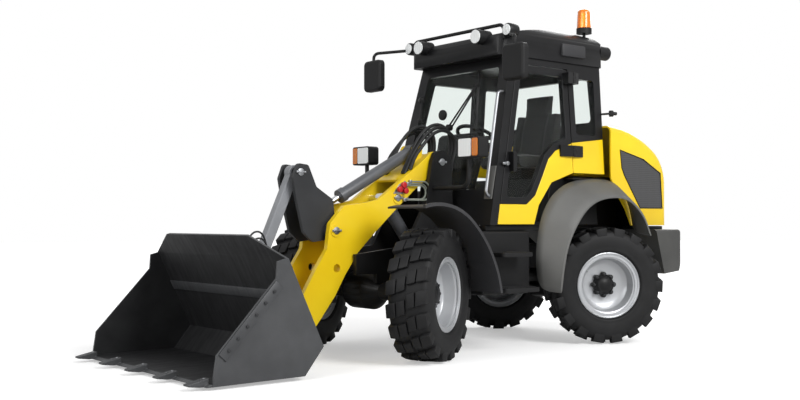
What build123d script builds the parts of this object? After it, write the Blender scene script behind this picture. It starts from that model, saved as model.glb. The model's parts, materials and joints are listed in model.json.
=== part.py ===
from build123d import *
from math import hypot
import os

os.makedirs("parts", exist_ok=True)

# Layout in millimetres: X forward, Y left, Z up, ground at zero, X zero midway between tail and teeth
WHEELBASE = 1960
REAR_OVERHANG = 872
REAR_X = -1498
FRONT_X = REAR_X + WHEELBASE
TAIL_X = REAR_X - REAR_OVERHANG

# Fits
PIN_FIT = 0.05
SEAT_GAP = 0.3
SIDE_GAP = 0.5
DOOR_GAP = 6

# Wheels and axles
TYRE_R = 470
TYRE_W = 308
CARCASS_R = 444
LUGS = 18
LUG_FOOT_R = 384
RIM_SEAT_R = 228.5
RIM_FLANGE_R = 265
RIM_HALF = 125
FLANGE_T = 9
HUB_R = 84
HUB_LOBES = 8
HUB_LOBE_R = 19
HUB_Z = TYRE_R
KINGPIN_Y = 573
KINGPIN_OFFSET = 120
KINGPIN_R = 25
KNUCKLE_R = 62
KNUCKLE_H = 180
FORK_T = 38
SPINDLE_R = 45
STEER_REST = 28
AXLE_R = 65
DIFF_R = 140

# Frame and mast
RAIL_HALF = 230
RAIL_T = 40
BOOM_HALF = 180
BOOM_T = 40
BOOM_PIVOT = (-100, 1440)
LIFT_BASE = (-150, 560)
LIFT_EYE = (300, 1160)
PIN_R = 28
PIN_CAP_R = 46
PIN_CAP_T = 7

# Bucket linkage, a parallelogram: lever equals hitch arm, link equals boom nose
LEVER_TOP = (1115, 1332)
LEVER_PIVOT = (864, 917)
HITCH_PIVOT = (1165, 245)
HITCH_TOP = (
    HITCH_PIVOT[0] + LEVER_TOP[0] - LEVER_PIVOT[0],
    HITCH_PIVOT[1] + LEVER_TOP[1] - LEVER_PIVOT[1],
)
TILT_BASE = (20, 1530)
TILT_EYE = (868, 1080)
LEVER_HALF = 105
CHEEK_T = 30

# Cylinders: barrel radius, rod radius, barrel length from its base pin, rod length from its eye
TILT_CYL = dict(barrel_r=46, rod_r=22, barrel=780, rod=755, eye_r=42, eye_half=40)
LIFT_CYL = dict(barrel_r=50, rod_r=25, barrel=660, rod=692, eye_r=42, eye_half=40)

# Cab: a tapered shell, walls as thick as the door
FLOOR_Z = 955
ROOF_Z = 2270
CAB_LOW = dict(front=-225, rear=-1560, half=630)
CAB_TOP = dict(front=-545, rear=-1590, half=525)
WALL = 48
GLASS_IN = 14
GLASS_T = 6

# Hood and tail
HOOD_FRONT = -1600
HOOD_LOW = 950
HOOD_TAIL = -2345
HOOD_ROUND = 55
HOOD_HALF = 640
HOOD_T = 14
FENDER_IN = 655
FENDER_OUT = 860
FENDER_T = 12

# Bucket
BUCKET_HALF = 876
BUCKET_T = 16
TEETH = 5
TOOTH_LEN = 136

# Rounding of the boom's outline and of the window corners
BOOM_ROUND = 40
WINDOW_ROUND = 30


def save(name, shape):
    shape.label = name
    export_step(shape, f"parts/{name}.step")


def side(y):
    """Plane of a side view whose left face is at y; extruding goes to the right."""
    return Plane.XZ.offset(-y)


def lerp(low, high, z):
    return low + (high - low) * (z - FLOOR_Z) / (ROOF_Z - FLOOR_Z)


def cab_front(z):
    return lerp(CAB_LOW["front"], CAB_TOP["front"], z)


def cab_half(z):
    return lerp(CAB_LOW["half"], CAB_TOP["half"], z)


def tube(points, radius, bend):
    """Round tube along straight runs joined by bends of one radius."""
    with BuildPart() as pipe:
        with BuildLine() as path:
            FilletPolyline(*points, radius=bend)
        with BuildSketch(Plane(origin=path.line @ 0, z_dir=path.line % 0)):
            Circle(radius)
        sweep()
    return pipe.part


# Tyre: faceted carcass with two staggered rows of slanted lugs, axis along Y
with BuildPart() as lug:
    with BuildSketch(Plane(origin=(LUG_FOOT_R, 0, 0), x_dir=(0, 1, 0), z_dir=(1, 0, 0))):
        Polygon((8, -62), (TYRE_W / 2 - 12, -20), (TYRE_W / 2 - 12, 50), (8, 16), align=None)
    extrude(amount=TYRE_R - LUG_FOOT_R + 10, taper=4)
    with BuildSketch(Plane.XZ):
        Circle(TYRE_R)
    extrude(amount=TYRE_W, both=True, mode=Mode.INTERSECT)

# columns: half width, radius, from the bead to the tread
CARCASS = [
    (RIM_HALF - SEAT_GAP, RIM_FLANGE_R + 4), (TYRE_W / 2 - 6, 305), (TYRE_W / 2, 365),
    (TYRE_W / 2 - 8, 415), (TYRE_W / 2 - 34, CARCASS_R),
]
FACETS = 2 * LUGS
with BuildPart() as tyre:
    for y, radius in CARCASS + [(-y, radius) for y, radius in reversed(CARCASS)]:
        with BuildSketch(side(y)):
            RegularPolygon(radius, FACETS)
    loft(ruled=True)
    with BuildSketch(side(TYRE_W)):
        RegularPolygon(RIM_SEAT_R + SEAT_GAP, FACETS, major_radius=False)
    extrude(amount=2 * TYRE_W, mode=Mode.SUBTRACT)
    pitch = 360 / LUGS
    with Locations(*[Location((0, 0, 0), (0, pitch * i, 0)) for i in range(LUGS)]):
        add(lug.part)
    with Locations(*[Location((0, 0, 0), (180, pitch * (i + 0.5), 0)) for i in range(LUGS)]):
        add(lug.part)

# Rim: deep dish on the outer side, hub with a blind bore on the inner side
with BuildPart() as rim:
    with BuildSketch(Plane.XY):
        Polygon(
            (RIM_FLANGE_R, -RIM_HALF - FLANGE_T),
            (RIM_FLANGE_R, -RIM_HALF),
            (RIM_SEAT_R, -RIM_HALF),
            (RIM_SEAT_R, RIM_HALF),
            (RIM_FLANGE_R, RIM_HALF),
            (RIM_FLANGE_R, RIM_HALF + FLANGE_T),
            (RIM_FLANGE_R - 14, RIM_HALF + FLANGE_T),
            (RIM_SEAT_R - 14, RIM_HALF - 8),
            (RIM_SEAT_R - 20, 20),
            (165, -4),
            (HUB_R, -4),
            (HUB_R, 36),
            (HUB_R - 22, 56),
            (0, 56),
            (0, 44),
            (SPINDLE_R + PIN_FIT, 44),
            (SPINDLE_R + PIN_FIT, -24),
            (165, -24),
            (RIM_SEAT_R - 20, 4),
            (RIM_SEAT_R - 14, -RIM_HALF + 8),
            (RIM_FLANGE_R - 14, -RIM_HALF - FLANGE_T),
            align=None,
        )
    revolve(axis=Axis.Y)
    with BuildSketch(side(30)):
        with PolarLocations(HUB_R, HUB_LOBES):
            Circle(HUB_LOBE_R)
    extrude(amount=34)

# Knuckle about its kingpin, spindle towards +Y
with BuildPart() as knuckle:
    Cylinder(KNUCKLE_R, KNUCKLE_H)
    with BuildSketch(Plane.XZ):
        Circle(72)
    extrude(amount=-(KINGPIN_OFFSET - 34))
    with BuildSketch(Plane.XZ):
        Circle(SPINDLE_R)
    extrude(amount=-(KINGPIN_OFFSET + 40))
    Cylinder(KINGPIN_R + PIN_FIT, KNUCKLE_H, mode=Mode.SUBTRACT)

# Wheel stations: name, axle X, side, steering angle at rest
STATIONS = [
    ("front_left", FRONT_X, 1, STEER_REST),
    ("front_right", FRONT_X, -1, STEER_REST),
    ("rear_left", REAR_X, 1, -STEER_REST),
    ("rear_right", REAR_X, -1, -STEER_REST),
]
for name, x, hand, steer in STATIONS:
    turn = steer if hand > 0 else steer + 180
    kingpin = Pos(x, hand * KINGPIN_Y, HUB_Z) * Rot(0, 0, turn)
    wheel = kingpin * Pos(0, KINGPIN_OFFSET, 0)
    save(f"knuckle_{name}", kingpin * knuckle.part)
    save(f"rim_{name}", wheel * rim.part)
    save(f"tyre_{name}", wheel * tyre.part)

# Axle housing with differential and kingpin forks
EAR_LOW = KNUCKLE_H / 2 + SIDE_GAP
with BuildPart() as axle:
    with BuildSketch(Plane.XY):
        Polygon(
            (0, -KINGPIN_Y + 85),
            (AXLE_R, -KINGPIN_Y + 85),
            (AXLE_R, -230),
            (DIFF_R, -110),
            (DIFF_R, 110),
            (AXLE_R, 230),
            (AXLE_R, KINGPIN_Y - 85),
            (0, KINGPIN_Y - 85),
            align=None,
        )
    revolve(axis=Axis.Y)
    with Locations((0, KINGPIN_Y - 100, 0), (0, -KINGPIN_Y + 100, 0)):
        Box(110, 40, 2 * (EAR_LOW + FORK_T))
    for hand in (1, -1):
        for ear_z in (EAR_LOW, -EAR_LOW - FORK_T):
            with BuildSketch(Plane.XY.offset(ear_z)):
                with Locations((0, hand * KINGPIN_Y)):
                    Circle(58)
                with Locations((0, hand * (KINGPIN_Y - 55))):
                    Rectangle(110, 110)
            extrude(amount=FORK_T)
        with Locations((0, hand * KINGPIN_Y, 0)):
            Cylinder(KINGPIN_R, 2 * (EAR_LOW + FORK_T))
for name, x in (("front_axle", FRONT_X), ("rear_axle", REAR_X)):
    save(name, Pos(x, 0, HUB_Z) * axle.part)

# Drive shaft between the axles
SHAFT_Z = HUB_Z - 30
with BuildPart() as shaft:
    with BuildSketch(Plane.YZ.offset(REAR_X + DIFF_R - 1)):
        with Locations((0, SHAFT_Z)):
            Circle(32)
    extrude(amount=WHEELBASE - 2 * DIFF_R + 2)
save("drive_shaft", shaft.part - Pos(FRONT_X, 0, HUB_Z) * axle.part - Pos(REAR_X, 0, HUB_Z) * axle.part)

# Frame: two rails with the mast, cross members and pins
RAIL = [
    (TAIL_X + 260, 600), (TAIL_X + 260, 790), (-330, 790), (-215, 900), (-200, 1440),
    (-170, 1500), (-100, 1535), (-30, 1510), (0, 1440), (60, 1120), (250, 800),
    (FRONT_X + 258, 745), (FRONT_X + 258, 600),
]
with BuildPart() as frame:
    for y in (RAIL_HALF, -RAIL_HALF + RAIL_T):
        with BuildSketch(side(y)):
            Polygon(*RAIL, align=None)
        extrude(amount=RAIL_T)
    for x in (FRONT_X + 118, -330, -1000, TAIL_X + 300):
        with Locations((x, 0, 690)):
            Box(50, 2 * RAIL_HALF - 2 * RAIL_T, 120)
    for x in (FRONT_X, REAR_X):
        with Locations((x, RAIL_HALF - RAIL_T / 2, 566), (x, -RAIL_HALF + RAIL_T / 2, 566)):
            Box(150, RAIL_T, 70)
    for x, z in (BOOM_PIVOT, LIFT_BASE):
        with BuildSketch(side(RAIL_HALF)):
            with Locations((x, z)):
                Circle(PIN_R)
        extrude(amount=2 * RAIL_HALF)
    for y in (RAIL_HALF, -RAIL_HALF + RAIL_T):
        with BuildSketch(side(y)):
            with Locations(LIFT_BASE):
                Circle(60)
            with Locations((LIFT_BASE[0], LIFT_BASE[1] + 60)):
                Rectangle(120, 120)
        extrude(amount=RAIL_T)
save("frame", frame.part - Pos(FRONT_X, 0, HUB_Z) * axle.part - Pos(REAR_X, 0, HUB_Z) * axle.part)

# Engine block between the rails, under the hood
with BuildPart() as engine:
    with Locations((-1880, 0, 1150)):
        Box(540, 480, 440)
    with Locations((-1800, 0, 790)):
        Box(360, 2 * (RAIL_HALF - RAIL_T), 282)
save("engine_block", engine.part)

# Boom: two plates, pivot tubes, lever pin and webs
BOOM_EDGE = [
    (-150, 1375), (-60, 1360), (130, 1226), (324, 1066), (513, 902), (668, 758), (784, 595), (872, 449),
    (984, 306), (1060, 215), (1165, 150), (1250, 200), (1255, 290), (1095, 549), (1036, 646), (942, 785),
    (915, 969), (790, 1098), (600, 1120), (475, 1145), (257, 1299), (60, 1440), (-40, 1520), (-150, 1510),
]
with BuildPart() as boom:
    for y in (BOOM_HALF, -BOOM_HALF + BOOM_T):
        with BuildSketch(side(y)) as outline:
            Polygon(*BOOM_EDGE, align=None)
            fillet(outline.vertices(), BOOM_ROUND)
        extrude(amount=BOOM_T)
    for (x, z), radius in ((BOOM_PIVOT, 72), (HITCH_PIVOT, 72)):
        with BuildSketch(side(BOOM_HALF)):
            with Locations((x, z)):
                Circle(radius)
        extrude(amount=2 * BOOM_HALF)
    with BuildSketch(side(BOOM_HALF)):
        with Locations(LEVER_PIVOT):
            Circle(PIN_R)
    extrude(amount=2 * BOOM_HALF)
    for web in (
        [(668, 758), (984, 306), (1004, 320), (688, 772)],
        [(-20, 1490), (250, 1300), (239, 1284), (-31, 1474)],
    ):
        with BuildSketch(side(BOOM_HALF - BOOM_T + 1)):
            Polygon(*web, align=None)
        extrude(amount=2 * (BOOM_HALF - BOOM_T + 1))
    for y in (80, -50):
        with BuildSketch(side(y)):
            with Locations(TILT_BASE):
                Circle(45)
            Polygon((-25, 1478), (60, 1420), (60, 1535), (-25, 1540), align=None)
        extrude(amount=30)
    with BuildSketch(side(80)):
        with Locations(TILT_BASE):
            Circle(22)
    extrude(amount=160)
    for x, z in (BOOM_PIVOT, HITCH_PIVOT):
        with BuildSketch(side(BOOM_HALF)):
            with Locations((x, z)):
                Circle(PIN_R + PIN_FIT)
        extrude(amount=2 * BOOM_HALF, mode=Mode.SUBTRACT)
    with BuildSketch(side(BOOM_HALF)):
        with Locations((855, 648)):
            Circle(30)
    extrude(amount=2 * BOOM_HALF, mode=Mode.SUBTRACT)
    for y in (BOOM_HALF + PIN_CAP_T, -BOOM_HALF):
        with BuildSketch(side(y)):
            with Locations(LEVER_PIVOT, LIFT_EYE):
                Circle(PIN_CAP_R)
        extrude(amount=PIN_CAP_T)
save("boom", boom.part)

# Lever: two cheeks on a bored tube, with the link's pin at the top
CHEEK = [
    (805, 860), (1010, 835), (1090, 905), (1150, 1135), (1180, 1290), (1140, 1395), (1050, 1385), (980, 1230),
    (835, 1140),
]
CHEEK_ROUND = 28
with BuildPart() as lever:
    for y in (LEVER_HALF, -LEVER_HALF + CHEEK_T):
        with BuildSketch(side(y)) as cheek:
            Polygon(*CHEEK, align=None)
            fillet(cheek.vertices(), CHEEK_ROUND)
        extrude(amount=CHEEK_T)
    with BuildSketch(side(BOOM_HALF - BOOM_T - SIDE_GAP)):
        with Locations(LEVER_PIVOT):
            Circle(55)
    extrude(amount=BOOM_HALF - BOOM_T - SIDE_GAP - LEVER_HALF)
    with BuildSketch(side(-LEVER_HALF)):
        with Locations(LEVER_PIVOT):
            Circle(55)
    extrude(amount=BOOM_HALF - BOOM_T - SIDE_GAP - LEVER_HALF)
    with BuildSketch(side(LEVER_HALF)):
        with Locations(LEVER_TOP):
            Circle(PIN_R)
    extrude(amount=2 * LEVER_HALF)
    with BuildSketch(side(BOOM_HALF)):
        with Locations(LEVER_PIVOT):
            Circle(PIN_R + PIN_FIT)
    extrude(amount=2 * BOOM_HALF, mode=Mode.SUBTRACT)
save("lever", lever.part)


def bar(start, end, half_w):
    """Outline corners of a straight bar between two points of the side view."""
    length = hypot(end[0] - start[0], end[1] - start[1])
    nx = -(end[1] - start[1]) / length * half_w
    nz = (end[0] - start[0]) / length * half_w
    return [
        (start[0] + nx, start[1] + nz), (end[0] + nx, end[1] + nz),
        (end[0] - nx, end[1] - nz), (start[0] - nx, start[1] - nz),
    ]


# Link between lever and hitch, an eye at each end
LINK_HALF = 36
with BuildPart() as link:
    with BuildSketch(side(LINK_HALF)):
        Polygon(*bar(LEVER_TOP, HITCH_TOP, LINK_HALF), align=None)
        with Locations(LEVER_TOP, HITCH_TOP):
            Circle(52)
        with Locations(LEVER_TOP, HITCH_TOP):
            Circle(PIN_R + PIN_FIT, mode=Mode.SUBTRACT)
    extrude(amount=2 * LINK_HALF)
save("link", link.part)


def cylinder_axis(base, eye):
    """Plane at the base pin with its normal along the cylinder."""
    return Plane(origin=(base[0], 0, base[1]), x_dir=(0, 1, 0), z_dir=(eye[0] - base[0], 0, eye[1] - base[1]))


GLAND_L = 50
GLAND_T = 7

# Hydraulic cylinders: barrel bored for its rod, rod with its eye's cross pin
# columns: name, base pin, rod eye, sizes, base pin radius, rod pin radius, half the rod pin's length
for name, base, eye, cyl, base_r, pin_r, pin_half in (
    ("tilt", TILT_BASE, TILT_EYE, TILT_CYL, 22, 22, LEVER_HALF - CHEEK_T - SIDE_GAP),
    ("lift", LIFT_BASE, LIFT_EYE, LIFT_CYL, PIN_R, PIN_R, BOOM_HALF - BOOM_T - SIDE_GAP),
):
    along = cylinder_axis(base, eye)
    span = hypot(eye[0] - base[0], eye[1] - base[1])
    with BuildPart() as barrel:
        with BuildSketch(along.offset(30)):
            Circle(cyl["barrel_r"])
        extrude(amount=cyl["barrel"] - 30)
        with BuildSketch(along.offset(cyl["barrel"] - GLAND_L)):
            Circle(cyl["barrel_r"] + GLAND_T)
        extrude(amount=GLAND_L)
        with BuildSketch(side(cyl["eye_half"])):
            with Locations(base):
                Circle(cyl["eye_r"] + 6)
        extrude(amount=2 * cyl["eye_half"])
        with BuildSketch(along.offset(span - cyl["rod"] - 105 if name == "tilt" else 50)):
            Circle(cyl["rod_r"] + PIN_FIT)
        extrude(amount=cyl["barrel"], mode=Mode.SUBTRACT)
        with BuildSketch(side(cyl["eye_half"])):
            with Locations(base):
                Circle(base_r + PIN_FIT)
        extrude(amount=2 * cyl["eye_half"], mode=Mode.SUBTRACT)
    save(f"{name}_barrel", barrel.part)
    with BuildPart() as rod:
        with BuildSketch(along.offset(span - cyl["rod"])):
            Circle(cyl["rod_r"])
        extrude(amount=cyl["rod"])
        with BuildSketch(side(cyl["eye_half"])):
            with Locations(eye):
                Circle(cyl["eye_r"])
        extrude(amount=2 * cyl["eye_half"])
        with BuildSketch(side(pin_half)):
            with Locations(eye):
                Circle(pin_r)
        extrude(amount=2 * pin_half)
    save(f"{name}_rod", rod.part)

# Bucket section in the side view, from the lip along the floor and up the back
BACK_LOW = (1450, 200)
BACK_TOP = (1714, 761)
LIP = (2234, 20)
TOOTH_X = LIP[0] + TOOTH_LEN
HEEL = (1590, 26)
GUARD_TOP = (1799, 901)
BUCKET_SIDE = [LIP, HEEL, BACK_LOW, BACK_TOP, (1792, 740), (1799, 638), (2207, 201)]
with BuildPart() as bucket:
    for y in (BUCKET_HALF, -BUCKET_HALF + BUCKET_T):
        with BuildSketch(side(y)):
            Polygon(*BUCKET_SIDE, align=None)
        extrude(amount=BUCKET_T)
    with BuildSketch(side(BUCKET_HALF)):
        Polygon(
            LIP, HEEL, BACK_LOW, BACK_TOP, GUARD_TOP,
            (GUARD_TOP[0] + 17, GUARD_TOP[1] - 8), (BACK_TOP[0] + 18, BACK_TOP[1] - 6),
            (BACK_LOW[0] + 19, BACK_LOW[1] + 3), (HEEL[0] + 9, HEEL[1] + 16), (LIP[0], LIP[1] + 16),
            align=None,
        )
    extrude(amount=2 * BUCKET_HALF)
    for hand in (1, -1):
        with BuildSketch(Plane.YZ.offset(1700)):
            Polygon((hand * 541, 902), (hand * 541, 960), (hand * 900, 960), (hand * 900, 756),
                    (hand * 876, 756), align=None)
        extrude(amount=200, mode=Mode.SUBTRACT)
save("bucket", bucket.part)

# Cutting edge with its teeth
TOOTH_PITCH = 2 * (BUCKET_HALF - 70) / (TEETH - 1)
with BuildPart() as teeth:
    with BuildSketch(side(BUCKET_HALF)):
        Polygon((LIP[0], 20), (LIP[0], 36), (LIP[0] + 14, 36), (LIP[0] + 40, 20), align=None)
    extrude(amount=2 * BUCKET_HALF)
    for i in range(TEETH):
        with BuildSketch(side(BUCKET_HALF - 70 - i * TOOTH_PITCH + 32)):
            Polygon((LIP[0], 20), (LIP[0], 70), (TOOTH_X, 42), (TOOTH_X, 30), (LIP[0] + 60, 20), align=None)
        extrude(amount=64)
save("bucket_teeth", teeth.part)

# Quick hitch between boom nose and bucket
HITCH_LINE = [(1400, 235), (1590, 640)]
HITCH_IN = BOOM_HALF + 2
HITCH_T = 36
with BuildPart() as hitch:
    for y in (HITCH_IN + HITCH_T, -HITCH_IN):
        with BuildSketch(side(y)):
            Polygon((1110, 200), (1165, 170), (1370, 172), HITCH_LINE[0], HITCH_LINE[1], (1500, 705),
                    (1400, 690), (1100, 300), align=None)
        extrude(amount=HITCH_T)
    with BuildSketch(side(HITCH_IN + HITCH_T)):
        Polygon(HITCH_LINE[0], HITCH_LINE[1], (1559, 655), (1369, 250), align=None)
    extrude(amount=2 * (HITCH_IN + HITCH_T))
    for y in (80, -44):
        with BuildSketch(side(y)):
            with Locations(HITCH_TOP):
                Circle(58)
            Polygon((1416, 602), (1500, 530), (1560, 655), (1440, 715), align=None)
        extrude(amount=36)
    with BuildSketch(side(80)):
        with Locations(HITCH_TOP):
            Circle(PIN_R)
    extrude(amount=160)
    with BuildSketch(side(HITCH_IN + HITCH_T)):
        with Locations(HITCH_PIVOT):
            Circle(PIN_R)
    extrude(amount=2 * (HITCH_IN + HITCH_T))
    for y in (HITCH_IN + HITCH_T, -120):
        with BuildSketch(side(y)):
            Polygon(HITCH_LINE[0], (1465, 232), (1657, 640), HITCH_LINE[1], align=None)
        extrude(amount=HITCH_IN + HITCH_T - 120)
save("quick_hitch", hitch.part - bucket.part)

# Cab shell and the glass layer inside its walls
GLASS_OUT = GLASS_IN + GLASS_T


def cab_shell(inset):
    """Tapered cab block with its walls moved in by an inset."""
    with BuildPart() as block:
        for z, row in ((FLOOR_Z, CAB_LOW), (ROOF_Z, CAB_TOP)):
            with BuildSketch(Plane.XY.offset(z)):
                Polygon(
                    (row["front"] - inset, row["half"] - inset), (row["rear"] + inset, row["half"] - inset),
                    (row["rear"] + inset, inset - row["half"]), (row["front"] - inset, inset - row["half"]),
                    align=None,
                )
        loft()
    return block.part


CAB_WALL = cab_shell(0) - cab_shell(WALL)
CAB_GLASS = cab_shell(GLASS_IN) - cab_shell(GLASS_OUT)


def prism(points, y0, y1, corner=0):
    """Side view outline extruded between two Y planes, y0 the left one, its corners rounded."""
    with BuildPart() as block:
        with BuildSketch(side(y0)) as outline:
            Polygon(*points, align=None)
            if corner:
                fillet(outline.vertices(), corner)
        extrude(amount=y0 - y1)
    return block.part


def front_prism(points, x0, x1, corner):
    """Front view outline in Y and Z extruded forward from x0 to x1, its corners rounded."""
    with BuildPart() as block:
        with BuildSketch(Plane.YZ.offset(x0)) as outline:
            Polygon(*points, align=None)
            fillet(outline.vertices(), corner)
        extrude(amount=x1 - x0)
    return block.part


# Door outline, its yellow panel and its window, side view
PILLAR = 80
B_POST = -1185
DOOR = [
    (cab_front(960) - PILLAR, 960), (-700, 960), (-765, 1110), (-925, 1290), (B_POST, 1372),
    (B_POST, 2212), (cab_front(2212) - PILLAR, 2212),
]
PANEL = [
    (cab_front(960) - PILLAR, 960), (-700, 960), (-765, 1110), (-925, 1290), (B_POST, 1372),
    (B_POST, 1612), (-992, 1545), (-905, 1475), (-819, 1328), (-730, 1185), (-629, 1114),
    (cab_front(1114) - PILLAR, 1114),
]
WINDOW = [
    (cab_front(1168) - PILLAR - 60, 1168), (-620, 1168), (-688, 1222), (-772, 1356), (-862, 1512),
    (-968, 1598), (B_POST + 62, 1655), (B_POST + 62, 2150), (cab_front(2150) - PILLAR - 60, 2150),
]
QUARTER = [(-1252, 1690), (-1490, 1690), (-1505, 2150), (-1252, 2150)]
QUARTER_PANEL = [(B_POST - DOOR_GAP, 1372), (-1600, 1372), (-1600, 1668), (B_POST - DOOR_GAP, 1618)]
ARCH = [(-700, 900), (-700, 960), (-765, 1110), (-925, 1290), (B_POST, 1372), (-1700, 1372), (-1700, 900)]
DOOR_HOLE = [
    (cab_front(900) - PILLAR + DOOR_GAP, 900), (-704, 900), (-706, 957), (-771, 1107), (-928, 1284),
    (B_POST - DOOR_GAP, 1366), (B_POST - DOOR_GAP, 2218), (cab_front(2218) - PILLAR + DOOR_GAP, 2218),
]
FAR = 900
MID = 300
door_window = prism(WINDOW, FAR, MID, WINDOW_ROUND)
right_window = prism(WINDOW, -MID, -FAR, WINDOW_ROUND)
quarter_window = prism(QUARTER, FAR, MID, WINDOW_ROUND)
right_quarter = prism(QUARTER, -MID, -FAR, WINDOW_ROUND)
save("door_panel", CAB_WALL & prism(PANEL, FAR, MID))
save("door_frame", (CAB_WALL & prism(DOOR, FAR, MID)) - prism(PANEL, FAR, MID) - door_window)
save("door_glass", CAB_GLASS & door_window)

# Windscreen and rear window outlines, front view
SCREEN = [(-500, 1230), (500, 1230), (425, 2190), (-425, 2190)]
BACKLIGHT = [(-480, 1810), (480, 1810), (430, 2180), (-430, 2180)]
screen_hole = front_prism(SCREEN, -700, 0, WINDOW_ROUND)
back_hole = front_prism(BACKLIGHT, -1800, -1400, WINDOW_ROUND)
save("windscreen", CAB_GLASS & screen_hole)
save("rear_window", CAB_GLASS & back_hole)
save("side_glass", (CAB_GLASS & right_window) + (CAB_GLASS & right_quarter) + (CAB_GLASS & quarter_window))
save("side_panels", (CAB_WALL & prism(PANEL, -MID, -FAR)) + (CAB_WALL & prism(QUARTER_PANEL, FAR, MID))
     + (CAB_WALL & prism(QUARTER_PANEL, -MID, -FAR)))
save("cab_frame", CAB_WALL - prism(DOOR_HOLE, FAR, MID) - prism(PANEL, -MID, -FAR) - right_window
     - quarter_window - right_quarter - prism(QUARTER_PANEL, FAR, -FAR) - prism(ARCH, FAR, -FAR)
     - screen_hole - back_hole)

# Cab floor with the seat platform over the rear axle, on rubber mounts
with BuildPart() as floor:
    with BuildSketch(side(FAR)):
        Polygon((-100, FLOOR_Z), (-100, 985), (-860, 985), (-980, 1330), (-1500, 1330), (-1500, FLOOR_Z),
                align=None)
    extrude(amount=2 * FAR)
cab_floor = floor.part & cab_shell(WALL)
save("cab_floor", cab_floor)
with BuildPart() as feet:
    for x in (-420, -1380):
        with Locations((x, RAIL_HALF - 48, 872.5), (x, 48 - RAIL_HALF, 872.5)):
            Cylinder(45, FLOOR_Z - 790)
save("cab_mounts", feet.part)

# Roof: a domed cap, the common part of its side, front and plan outlines
ROOF_HALF = 557
ROOF_NOSE = -412
ROOF_TAIL = -1645
ROOF_ROUND = 110
ROOF_EDGE = 2400
ROOF_TOP = 2540
with BuildPart() as roof:
    with BuildSketch(side(ROOF_HALF)):
        with BuildLine():
            Line((-430, ROOF_Z), (ROOF_NOSE, 2350))
            ThreePointArc((ROOF_NOSE, 2350), (-428, 2415), (-500, 2442))
            ThreePointArc((-500, 2442), (-1000, 2522), (-1480, 2512))
            ThreePointArc((-1480, 2512), (-1600, 2455), (ROOF_TAIL, 2360))
            Polyline((ROOF_TAIL, 2360), (-1630, ROOF_Z), (-430, ROOF_Z))
        make_face()
    extrude(amount=2 * ROOF_HALF)
    with BuildSketch(Plane.YZ.offset(ROOF_TAIL)):
        with BuildLine():
            Line((-540, ROOF_Z), (-ROOF_HALF, ROOF_EDGE))
            ThreePointArc((-ROOF_HALF, ROOF_EDGE), (-525, 2490), (-440, ROOF_TOP))
            Line((-440, ROOF_TOP), (440, ROOF_TOP))
            ThreePointArc((440, ROOF_TOP), (525, 2490), (ROOF_HALF, ROOF_EDGE))
            Polyline((ROOF_HALF, ROOF_EDGE), (540, ROOF_Z), (-540, ROOF_Z))
        make_face()
    extrude(amount=ROOF_NOSE - ROOF_TAIL, mode=Mode.INTERSECT)
    with BuildSketch(Plane.XY.offset(ROOF_Z)):
        with Locations(((ROOF_NOSE + ROOF_TAIL) / 2, 0)):
            RectangleRounded(ROOF_NOSE - ROOF_TAIL, 2 * ROOF_HALF, ROOF_ROUND)
    extrude(amount=ROOF_TOP - ROOF_Z, mode=Mode.INTERSECT)
save("cab_roof", roof.part)

# Seat, dash and steering wheel
SEAT_HALF = 240
HEADREST_HALF = 140
with BuildPart() as seat_base:
    with Locations((-1180, 0, 1380)):
        Box(360, 380, 100)
save("seat_pedestal", seat_base.part)
with BuildPart() as seat:
    with BuildSketch(side(SEAT_HALF)):
        Polygon((-930, 1455), (-930, 1530), (-1300, 1520), (-1385, 1900), (-1460, 1900), (-1420, 1430),
                (-960, 1430), align=None)
    extrude(amount=2 * SEAT_HALF)
    with BuildSketch(side(HEADREST_HALF)):
        Polygon((-1375, 1890), (-1395, 2070), (-1460, 2080), (-1455, 1890), align=None)
    extrude(amount=2 * HEADREST_HALF)
save("seat_cushion", seat.part)
with BuildPart() as dash:
    with BuildSketch(side(160)):
        Polygon((-330, 985), (-430, 985), (-600, 1480), (-680, 1590), (-620, 1625), (-470, 1400), align=None)
    extrude(amount=320)
save("dash", dash.part)
WHEEL_AXIS = Plane(origin=(-700, 0, 1665), x_dir=(0, 1, 0), z_dir=(-0.5, 0, 0.87))
with BuildPart() as steering:
    across = WHEEL_AXIS.x_dir.cross(WHEEL_AXIS.z_dir)
    with BuildSketch(Plane(origin=WHEEL_AXIS.origin, x_dir=(0, 1, 0), z_dir=across)):
        with Locations((185, 0)):
            RegularPolygon(16, 8)
    revolve(axis=Axis(WHEEL_AXIS.origin, WHEEL_AXIS.z_dir))
    with BuildSketch(WHEEL_AXIS.offset(-14)):
        Circle(40)
        Rectangle(360, 36)
    extrude(amount=20)
    with BuildSketch(WHEEL_AXIS.offset(-14)):
        Circle(24)
    extrude(amount=-60)
save("steering_wheel", steering.part - dash.part)

# Hood: rounded skin, open to the cab and below


def hood_block(inset, front, low):
    """Hood's side outline moved in by an inset and extruded, its upper edges rounded."""
    with BuildPart() as block:
        with BuildSketch(side(HOOD_HALF - inset)):
            with BuildLine():
                Polyline((front, 1780), (front, low), (HOOD_TAIL, low), (HOOD_TAIL, 1300))
                ThreePointArc((HOOD_TAIL, 1300), (-2300, 1476), (-2200, 1588))
                ThreePointArc((-2200, 1588), (-1930, 1722), (HOOD_FRONT - 60, 1776))
                Line((HOOD_FRONT - 60, 1776), (front, 1780))
            make_face()
            if inset:
                offset(amount=-inset)
        extrude(amount=2 * (HOOD_HALF - inset))
        crown = block.edges().filter_by(Axis.Y, reverse=True)
        crown = crown.filter_by(lambda e: e.center().Z > 1320 and e.center().X < HOOD_FRONT - 4)
        fillet(crown, HOOD_ROUND - inset)
    return block.part


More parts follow.
